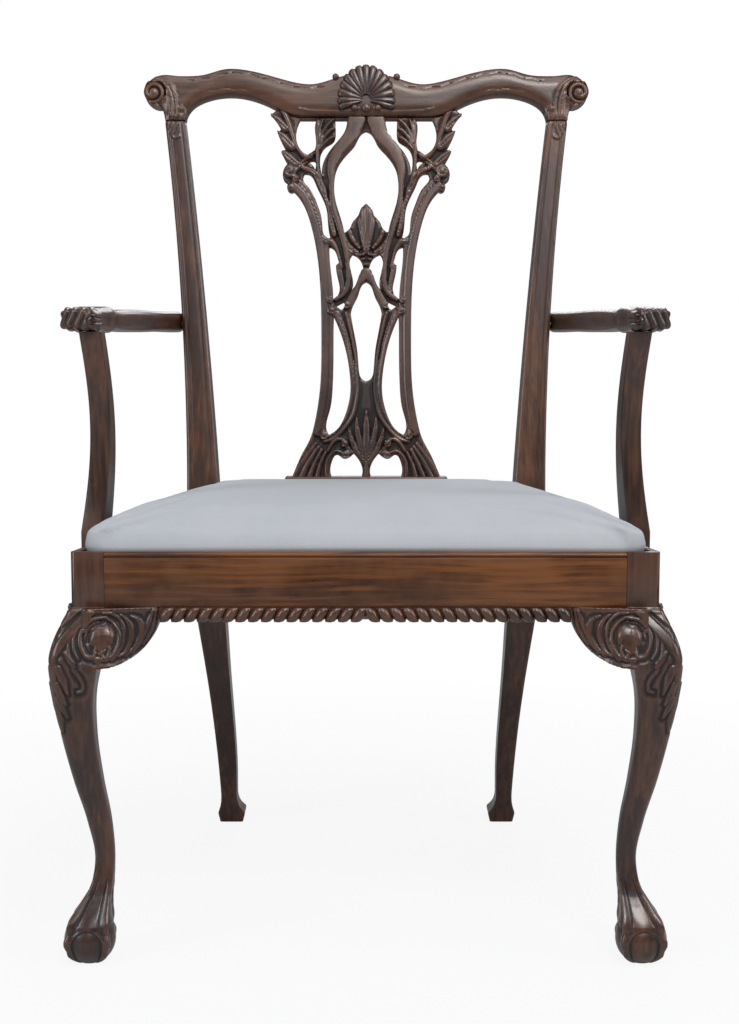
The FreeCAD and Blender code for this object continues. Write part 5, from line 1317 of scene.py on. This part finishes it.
def rear_legs():
    """Rear legs with rounded edges, two lines cut in each stile's front and the ends of the crest's leaf."""
    rows = rear_leg_rows()
    kernel = np.array([1, 4, 6, 4, 1]) / 16.0
    for column in (0, 1, 3, 4):
        padded = np.concatenate((rows[:1, column].repeat(2), rows[:, column], rows[-1:, column].repeat(2)))
        rows[:, column] = np.convolve(padded, kernel, "valid")
    front = 24
    co = []
    for x, y, z, wide, deep in rows:
        round_edge = min(3.2, wide * 0.3)
        above = smooth(505, 530, z)
        for k in range(front):
            t = k / (front - 1)
            px = x + (t * 2 - 1) * wide
            edge = min(t, 1 - t) * 2 * wide
            drop = round_edge * 0.55 * (1 - smooth(0, round_edge, edge)) ** 1.6
            line = stile_lines(t) * above
            swell = 0.7 * (1 - (t * 2 - 1) ** 2) * above
            co.append((px, y - deep + drop - line - swell + 0.7 * above, z))
        for k in range(1, 6):
            t = k / 6
            co.append((x + wide, y - deep + 2 * deep * t, z))
        for k in range(8):
            t = 1 - k / 7
            edge = min(t, 1 - t) * 2 * wide
            drop = 1.6 * (1 - smooth(0, 2.6, edge)) ** 1.6
            co.append((x + (t * 2 - 1) * wide, y + deep - drop, z))
        for k in range(1, 6):
            t = 1 - k / 6
            co.append((x - wide, y - deep + 2 * deep * t, z))
    around = front + 18
    co = np.array(co)
    seen = np.arange(len(co)) % around < front
    high = np.nonzero(seen & (co[:, 2] > 850))[0]
    flat = to_back(co[high] * MM)[:, (0, 2)]
    lift = carve(flat, [(Stroke(line, widths), "round", 1.4) for line, widths in STILE_LEAF], 0.0)
    co[high, 1] -= lift * (1 - smooth(STILE_TOP - 6, STILE_TOP, flat[:, 1]))
    mesh = closed_mesh("stile", co * MM, tube_faces(len(rows), around))
    timber_pair("rear_leg_%s_moulded", mesh, CREST_WOOD, "rear_leg_%s", 51, grain="z", angle=50)


# Arms

ARM_TIP_X = 316.0
ARM_MIDDLE = 710.5
ARM_TIP_HALF = (21.0, 13.5)      # half width and half height of the tip


def arms():
    """Arms with leaf ridges on the front of the tip and a small scroll at its inner side."""
    mesh = remeshed("arm_right", 1.5, 3)
    co = coords(mesh) / MM
    no = normals(mesh)
    run = co[:, 1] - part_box("arm_right")[0].y / MM
    across = (co[:, 0] - ARM_TIP_X) / ARM_TIP_HALF[0]
    rise = (co[:, 2] - ARM_MIDDLE) / ARM_TIP_HALF[1]
    tip = 1 - smooth(30, 46, run)
    bent = across + 0.16 * np.sin(rise * 2.2)
    ridges = 1.2 * np.cos(bent * math.pi * 4.6)
    r = np.hypot(across + 0.78, rise + 0.1) / 0.42
    turn = np.arctan2(rise + 0.1, across + 0.78)
    roll = 1.1 * np.cos(2 * math.pi * r / 0.55 + turn)
    co = co + no * (tip * (np.where(r < 1, roll, ridges) - 0.9))[:, None]
    set_coords(mesh, co * MM)
    timber_pair("arm_%s_scrolled", mesh, MAHOGANY, "arm_%s", 61, grain="y", angle=60, gain=1.2)


# Lobed strip under the front rail

def lobe_row_tree():
    """Geometry nodes: slanted lobes in a row to one side of the middle, and their mirror images."""
    tree = bpy.data.node_groups.new("lobe_row", "GeometryNodeTree")
    face = tree.interface
    face.new_socket("Geometry", in_out="INPUT", socket_type="NodeSocketGeometry")
    sizes = {}
    for label, kind in (("Lobes", "Int"), ("Pitch", "Float"), ("Slant", "Float"), ("Half Size", "Vector"),
                        ("Place", "Vector"), ("Wood", "Material")):
        sizes[label] = face.new_socket(label, in_out="INPUT", socket_type="NodeSocket" + kind).identifier
    face.new_socket("Geometry", in_out="OUTPUT", socket_type="NodeSocketGeometry")
    gin = tree.nodes.new("NodeGroupInput")
    gout = tree.nodes.new("NodeGroupOutput")

    def step(kind, *links, **settings):
        return node(tree, "GeometryNode" + kind, links, **settings).outputs[0]

    def along(axis, length):
        return node(tree, "ShaderNodeCombineXYZ", [(axis, length)]).outputs[0]

    pitch = gin.outputs["Pitch"]
    start = along(0, times(tree, pitch, 0.5))
    row = step("MeshLine", ("Count", gin.outputs["Lobes"]), ("Start Location", start),
               ("Offset", along(0, pitch)), mode="OFFSET")
    lobe = step("MeshUVSphere", ("Segments", 20), ("Rings", 14), ("Radius", 1.0))
    lobe = step("Transform", ("Geometry", lobe), ("Scale", gin.outputs["Half Size"]))
    lobe = step("Transform", ("Geometry", lobe), ("Rotation", along(1, gin.outputs["Slant"])))
    right = step("RealizeInstances", (0, step("InstanceOnPoints", ("Points", row), ("Instance", lobe))))
    left = step("FlipFaces", (0, step("Transform", ("Geometry", right), ("Scale", (-1, 1, 1)))))
    both = step("JoinGeometry", (0, right), (0, left))
    placed = step("Transform", ("Geometry", both), ("Translation", gin.outputs["Place"]))
    solid = step("RealizeInstances", (0, placed))
    coloured = step("SetMaterial", ("Geometry", solid), ("Material", gin.outputs["Wood"]))
    tree.links.new(coloured, gout.inputs[0])
    return tree, sizes


LOBES = 16
LOBE_SLANT = -0.66
LOBE_HALF = (6.4, 8.2, 12.6)


def strip_core(low, high):
    """Moulded backing of the strip."""
    profile = [(high.y, high.z), (low.y + 0.004, high.z), (low.y + 0.0065, low.z + 0.012),
               (low.y + 0.010, low.z + 0.005), (low.y + 0.015, low.z + 0.0012), (high.y, low.z + 0.0012)]
    places = np.linspace(low.x, high.x, 60)
    co = np.array([(x, y, z) for x in places for y, z in profile])
    return closed_mesh("core", co, tube_faces(len(places), len(profile)))


def lobed_strip():
    """Strip of slanted lobes that meet in the middle, over its backing."""
    low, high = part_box("gadroon_moulding")
    tree, sizes = lobe_row_tree()
    obj = new_object("work", bpy.data.meshes.new("work"))
    mod = obj.modifiers.new("lobes", "NODES")
    mod.node_group = tree
    mod[sizes["Lobes"]] = LOBES
    mod[sizes["Pitch"]] = high.x / LOBES
    mod[sizes["Slant"]] = LOBE_SLANT
    mod[sizes["Half Size"]] = tuple(v * MM for v in LOBE_HALF)
    mod[sizes["Place"]] = (0.0, low.y + LOBE_HALF[1] * MM, (low.z + high.z) / 2)
    mod[sizes["Wood"]] = MAHOGANY
    mesh = baked(obj)
    co = coords(mesh)
    co[:, 0] = np.clip(co[:, 0], low.x, high.x)
    co[:, 2] = np.clip(co[:, 2], low.z, high.z - 0.0001)
    set_coords(mesh, co)
    mesh = joined([mesh, strip_core(low, high)], "strip")
    timber("lobed_strip", mesh, MAHOGANY, "gadroon_moulding", grain="x", seed=71, angle=60, gain=1.2)


# Loose seat

SEAT_SKIRT_LOW = 448.6
SEAT_UNDERSIDE = 465.9
SEAT_ROLL = 461.7                # underside of the cloth's roll, just over the rails
SEAT_HELD = 462.5                # the cloth holds still below
SEAT_FLATTER = 5.0               # what the relaxed crown gives up before the cloth swells
SEAT_SWELL = 6.5                 # most that the cloth moves
SEAT_BULGE = 4.2                 # of the edge over the rails
EDGE_ROWS = (1.6, 3.8, 6.8, 10.6, 15.0, 20.0)
# Inset and height of the cloth's rings, down the outside of the bars and up behind
SEAT_RINGS = ((0.0, 460.1), (0.0, 453.5), (0.0, SEAT_SKIRT_LOW), (2.4, SEAT_SKIRT_LOW), (2.4, 456.0),
              (2.4, 462.0))
SEAT_RELAXED = 14                # rounds that even out the dome
CLOTH_FRAMES = 20
CLOTH_PRESSURE = 4.0


def seat_outline(step):
    """Edge of the covered seat, read from its solid just above the bars."""
    tree = cad_tree("seat_cover")
    low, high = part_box("seat_cover")
    z = low.z + 0.006
    middle = (low.y + high.y) / 2
    points = []
    for k in range(720):
        a = 2 * math.pi * k / 720
        way = Vector((math.cos(a), math.sin(a), 0))
        hit = tree.ray_cast(Vector((0, middle, z)) + way * 0.6, -way)
        points.append((hit[0].x / MM, hit[0].y / MM))
    closed = np.array(points + points[:1])
    run = np.concatenate(([0], np.cumsum(np.linalg.norm(np.diff(closed, axis=0), axis=1))))
    at = np.linspace(0, run[-1], int(run[-1] / step), endpoint=False)
    return np.column_stack((np.interp(at, run, closed[:, 0]), np.interp(at, run, closed[:, 1]))), tree


def inset(loop, width):
    """Outline drawn in by a width."""
    tangent = np.roll(loop, -1, axis=0) - np.roll(loop, 1, axis=0)
    tangent /= np.linalg.norm(tangent, axis=1)[:, None]
    return loop + np.column_stack((-tangent[:, 1], tangent[:, 0])) * width


def filled_loop(loop, grid):
    """Points and faces of an outline filled over a grid, and where its own points are among them."""
    xy, faces, place = triangulated(np.vstack((loop, grid)), [loop], 1)
    return xy, faces, [place[k] for k in range(len(loop))]


def cushion_form():
    """Closed form of cover and stuffing: dome, edge drawn down over the bars, flat underside."""
    loop, tree = seat_outline(5.0)
    edges = edge_tree([loop])
    grid = inner_grid([loop], 5.2)
    parts = []
    for width in EDGE_ROWS:
        row = inset(loop, width)
        parts.append(row[edge_distance(edges, row) > width - 0.2])
    grid = np.vstack(parts + [grid[edge_distance(edges, grid) > EDGE_ROWS[-1] + 3.5]])
    xy, faces, rim = filled_loop(loop, grid)
    top = []
    for x, y in xy:
        hit = tree.ray_cast(Vector((x * MM, y * MM, 0.7)), Vector((0, 0, -1)))
        top.append(hit[0].z / MM if hit[0] is not None else 458.0)
    top = np.array(top)
    top[rim] = SEAT_ROLL
    co = [np.column_stack((xy, top))]
    count = len(loop)
    total = len(xy)
    rings = [rim]
    for width, z in SEAT_RINGS:
        co.append(np.column_stack((inset(loop, width), np.full(count, z))))
        rings.append([total + k for k in range(count)])
        total += count
    low_loop = inset(loop, 3.2)
    low_grid = inner_grid([low_loop], 9.0)
    low_grid = low_grid[edge_distance(edge_tree([low_loop]), low_grid) > 5]
    low_xy, low_faces, low_rim = filled_loop(low_loop, low_grid)
    co.append(np.column_stack((low_xy, np.full(len(low_xy), SEAT_UNDERSIDE))))
    rings.append([total + k for k in low_rim])
    for last, here in zip(rings, rings[1:]):
        faces += [(last[k], last[(k + 1) % count], here[(k + 1) % count], here[k]) for k in range(count)]
    faces += [tuple(total + k for k in f) for f in low_faces]
    return closed_mesh("cushion", np.vstack(co) * MM, faces), loop


def swelled(mesh, limit):
    """Cloth pressure from inside; points at the bars and below hold still, and none moves past the limit."""
    obj = new_object("work", mesh)
    before = coords(mesh)
    hold = obj.vertex_groups.new(name="hold")
    below = (before[:, 2] < SEAT_HELD * MM) | (np.abs(before[:, 2] - SEAT_UNDERSIDE * MM) < 2e-4)
    hold.add([int(k) for k in np.nonzero(below)[0]], 1.0, "REPLACE")
    mod = obj.modifiers.new("cloth", "CLOTH")
    mod.settings.use_pressure = True
    mod.settings.uniform_pressure_force = CLOTH_PRESSURE
    mod.settings.effector_weights.gravity = 0
    mod.settings.vertex_group_mass = "hold"
    mod.settings.quality = 5
    mod.point_cache.frame_start = 1
    mod.point_cache.frame_end = CLOTH_FRAMES
    scene = bpy.context.scene
    for n in range(CLOTH_FRAMES):
        scene.frame_set(n + 1)
    deps = bpy.context.evaluated_depsgraph_get()
    after = coords(obj.evaluated_get(deps).to_mesh())
    obj.modifiers.clear()
    scene.frame_set(1)
    move = after - before
    length = np.maximum(np.linalg.norm(move, axis=1), 1e-9)
    share = np.minimum(1, limit / length) * smooth(0.4615, 0.482, before[:, 2])
    set_coords(mesh, before + move * share[:, None])
    bpy.data.objects.remove(obj)


def cushion():
    """Covered seat: a relaxed dome that the cloth's pressure swells, its edge rolling over the rails."""
    mesh, loop = cushion_form()
    co = coords(mesh)
    links = edges_of(mesh)
    edges = edge_tree([loop])
    inner = smooth(10, 20, edge_distance(edges, co[:, :2] / MM)) * (co[:, 2] > 0.467)
    for n in range(SEAT_RELAXED):
        co[:, 2] += (spread_mean(co[:, 2], links, len(co)) - co[:, 2]) * inner
    co[:, 2] -= SEAT_FLATTER * MM * smooth(0.466, 0.500, co[:, 2])
    set_coords(mesh, co)
    swelled(mesh, SEAT_SWELL * MM)
    co = coords(mesh)
    away = edge_distance(edges, co[:, :2] / MM)
    middle = np.array([0, co[:, 1].mean()])
    out = co[:, :2] - middle
    out /= np.maximum(np.linalg.norm(out, axis=1), 1e-9)[:, None]
    bulge = SEAT_BULGE * MM * (1 - smooth(0, 26, away)) * smooth(0.4603, 0.4615, co[:, 2])
    co[:, :2] += out * bulge[:, None]
    set_coords(mesh, co)
    obj = new_object("work", mesh)
    mod = obj.modifiers.new("smooth", "SUBSURF")
    mod.levels = 1
    mod.render_levels = 1
    obj = dress("seat_cushion", baked(obj), SEAT_CLOTH, "drop_in_seat", "seat_fabric", "seat_cover",
                "seat_padding", angle=75)


DUST_SAG = 2.5


def dust_cover():
    """Thin black cloth tacked under the seat's bars, sagging a little between them."""
    low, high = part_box("dust_cover")
    bm = cad_bmesh("dust_cover")
    rear = max(abs(v.co.x) for v in bm.verts if v.co.y > high.y - 0.001)
    bm.free()
    columns, rows = 64, 48
    co = []
    for j in range(rows + 1):
        v = j / rows
        half = high.x + (rear - high.x) * v
        y = low.y + (high.y - low.y) * v
        for i in range(columns + 1):
            u = i / columns
            sag = math.sin(math.pi * u) * math.sin(math.pi * v)
            ripple = 0.25 * math.sin(u * 41 + 3 * v) * math.sin(v * 33) * sag
            co.append(((u * 2 - 1) * half, y, high.z - 0.0004 - (DUST_SAG * sag + ripple) * MM))
    n = columns + 1
    faces = [(j * n + i, (j + 1) * n + i, (j + 1) * n + i + 1, j * n + i + 1) for j in range(rows)
             for i in range(columns)]
    mesh = bpy.data.meshes.new("dust")
    mesh.from_pydata(co, [], faces)
    obj = dress("dust_cloth", mesh, DUST_CLOTH, "drop_in_seat", "dust_cloth", "dust_cover", angle=70)


def straps(name, source):
    """Jute straps laid where the solid straps are."""
    dress(name, softened(source, 0.5), STRAP_CLOTH, "drop_in_seat", "webbing", source, angle=50)


# Stage, light and camera

MIRRORED = 0.15                  # share of the white surround that polish and metal mirror


def seen_white(tree):
    """Rays to which floor and surround are plain white."""
    rays = node(tree, "ShaderNodeLightPath").outputs
    seen = maths(tree, "MAXIMUM", rays["Is Camera Ray"], rays["Is Transmission Ray"])
    return maths(tree, "MAXIMUM", seen, times(tree, rays["Is Glossy Ray"], MIRRORED))


def mix_shaders(tree, share, a, b, output):
    """Shows shader b in place of a by a share."""
    mix = node(tree, "ShaderNodeMixShader", [(0, share), (1, a.outputs[0]), (2, b.outputs[0])])
    tree.links.new(mix.outputs[0], tree.nodes[output].inputs["Surface"])


FLOOR_HALF = 6.0


def stage():
    """Pale floor that is white to the camera but for soft shadows near the feet."""
    mesh = bpy.data.meshes.new("floor")
    corners = [(x * FLOOR_HALF, y * FLOOR_HALF, 0) for x, y in ((-1, -1), (1, -1), (1, 1), (-1, 1))]
    mesh.from_pydata(corners, [], [(0, 1, 2, 3)])
    floor = new_object("studio_floor", mesh)
    m, tree, shader = material("studio_floor")
    place = object_place(tree)
    tint = remap(tree, noise(tree, place, 3.0, 3.0), 0.3, 0.7)
    tree.links.new(blend_colour(tree, tint, (0.48, 0.48, 0.48, 1), (0.52, 0.52, 0.52, 1)),
                   shader.inputs["Base Color"])
    shader.inputs["Roughness"].default_value = 0.8
    white = node(tree, "ShaderNodeEmission", [("Color", (1, 1, 1, 1)), ("Strength", 1.0)])
    far = node(tree, "ShaderNodeVectorMath", [(0, place)], operation="LENGTH").outputs["Value"]
    plain = remap(tree, far, 0.45, 1.3, 0.90, 1.0)
    share = times(tree, seen_white(tree), plain)
    mix_shaders(tree, share, shader, white, "Material Output")
    mesh.materials.append(m)


# Name, place, height that it faces on the chair's middle, width and height, power, colour
LAMPS = (
    ("softbox_front", (0.8, -2.6, 3.3), 0.5, (1.4, 1.0), 86, (1.0, 0.99, 0.97)),
    ("softbox_sheen", (0.3, -3.4, 2.2), 0.8, (2.0, 0.7), 8, (0.86, 0.93, 1.0)),
    ("softbox_left", (-2.3, -1.8, 1.7), 0.6, (0.8, 1.9), 42, (0.88, 0.94, 1.0)),
    ("softbox_right", (2.6, -0.9, 1.9), 0.6, (0.9, 1.8), 36, (0.90, 0.95, 1.0)),
    ("softbox_behind", (0.5, 3.0, 2.2), 0.6, (1.8, 1.4), 34, (0.92, 0.96, 1.0)),
    ("softbox_above", (0, -0.5, 3.0), 0.4, (2.4, 1.5), 28, (0.90, 0.95, 1.0)),
)


def lights():
    """White surround that lights little, and the lamps."""
    world = bpy.data.worlds.new("studio")
    bpy.context.scene.world = world
    world.use_nodes = True
    tree = world.node_tree
    soft = tree.nodes["Background"]
    soft.inputs["Color"].default_value = (0.93, 0.96, 1.0, 1)
    soft.inputs["Strength"].default_value = 0.07
    white = node(tree, "ShaderNodeBackground", [("Color", (1, 1, 1, 1)), ("Strength", 1.0)])
    mix_shaders(tree, seen_white(tree), soft, white, "World Output")
    for name, place, target, size, power, colour in LAMPS:
        data = bpy.data.lights.new(name, "AREA")
        data.shape = "RECTANGLE"
        data.size, data.size_y = size
        data.energy = power
        data.color = colour
        obj = new_object(name, data)
        obj.location = place
        way = Vector((0, 0, target)) - Vector(place)
        obj.rotation_euler = way.to_track_quat("-Z", "Y").to_euler()


# The photograph's camera: 2.02 m in front of the chair's middle, looking slightly down
CAMERA_PLACE = (0.0044, -2.01814, 0.693)
CAMERA_PITCH = 6.19
CAMERA_LENS = 38.23


def camera():
    data = bpy.data.cameras.new("camera")
    data.sensor_fit = "VERTICAL"
    data.sensor_height = 24.0
    data.lens = CAMERA_LENS
    obj = new_object("camera", data)
    obj.location = CAMERA_PLACE
    obj.rotation_euler = (math.radians(90 - CAMERA_PITCH), 0, 0)
    bpy.context.scene.camera = obj


# Solids that show as they are
BARE_NODES = (
    (BEECH, ("seat_frame_front", "seat_frame_rear", "seat_frame_left", "seat_frame_right")),
    (SCREW_STEEL, ("corner_block_screws", "arm_support_screws", "arm_screws", "seat_tacks")),
)


def main():
    bpy.context.scene.view_settings.view_transform = "Standard"
    camera()
    lights()
    stage()
    plain_timbers()
    front_rail()
    splat_shoe()
    splat()
    crest()
    front_legs()
    rear_legs()
    arms()
    lobed_strip()
    cushion()
    dust_cover()
    straps("straps_long", "seat_webbing_long")
    straps("straps_cross", "seat_webbing_cross")
    for mat, names in BARE_NODES:
        for name in names:
            NODES[name].data.materials.clear()
            NODES[name].data.materials.append(mat)


main()
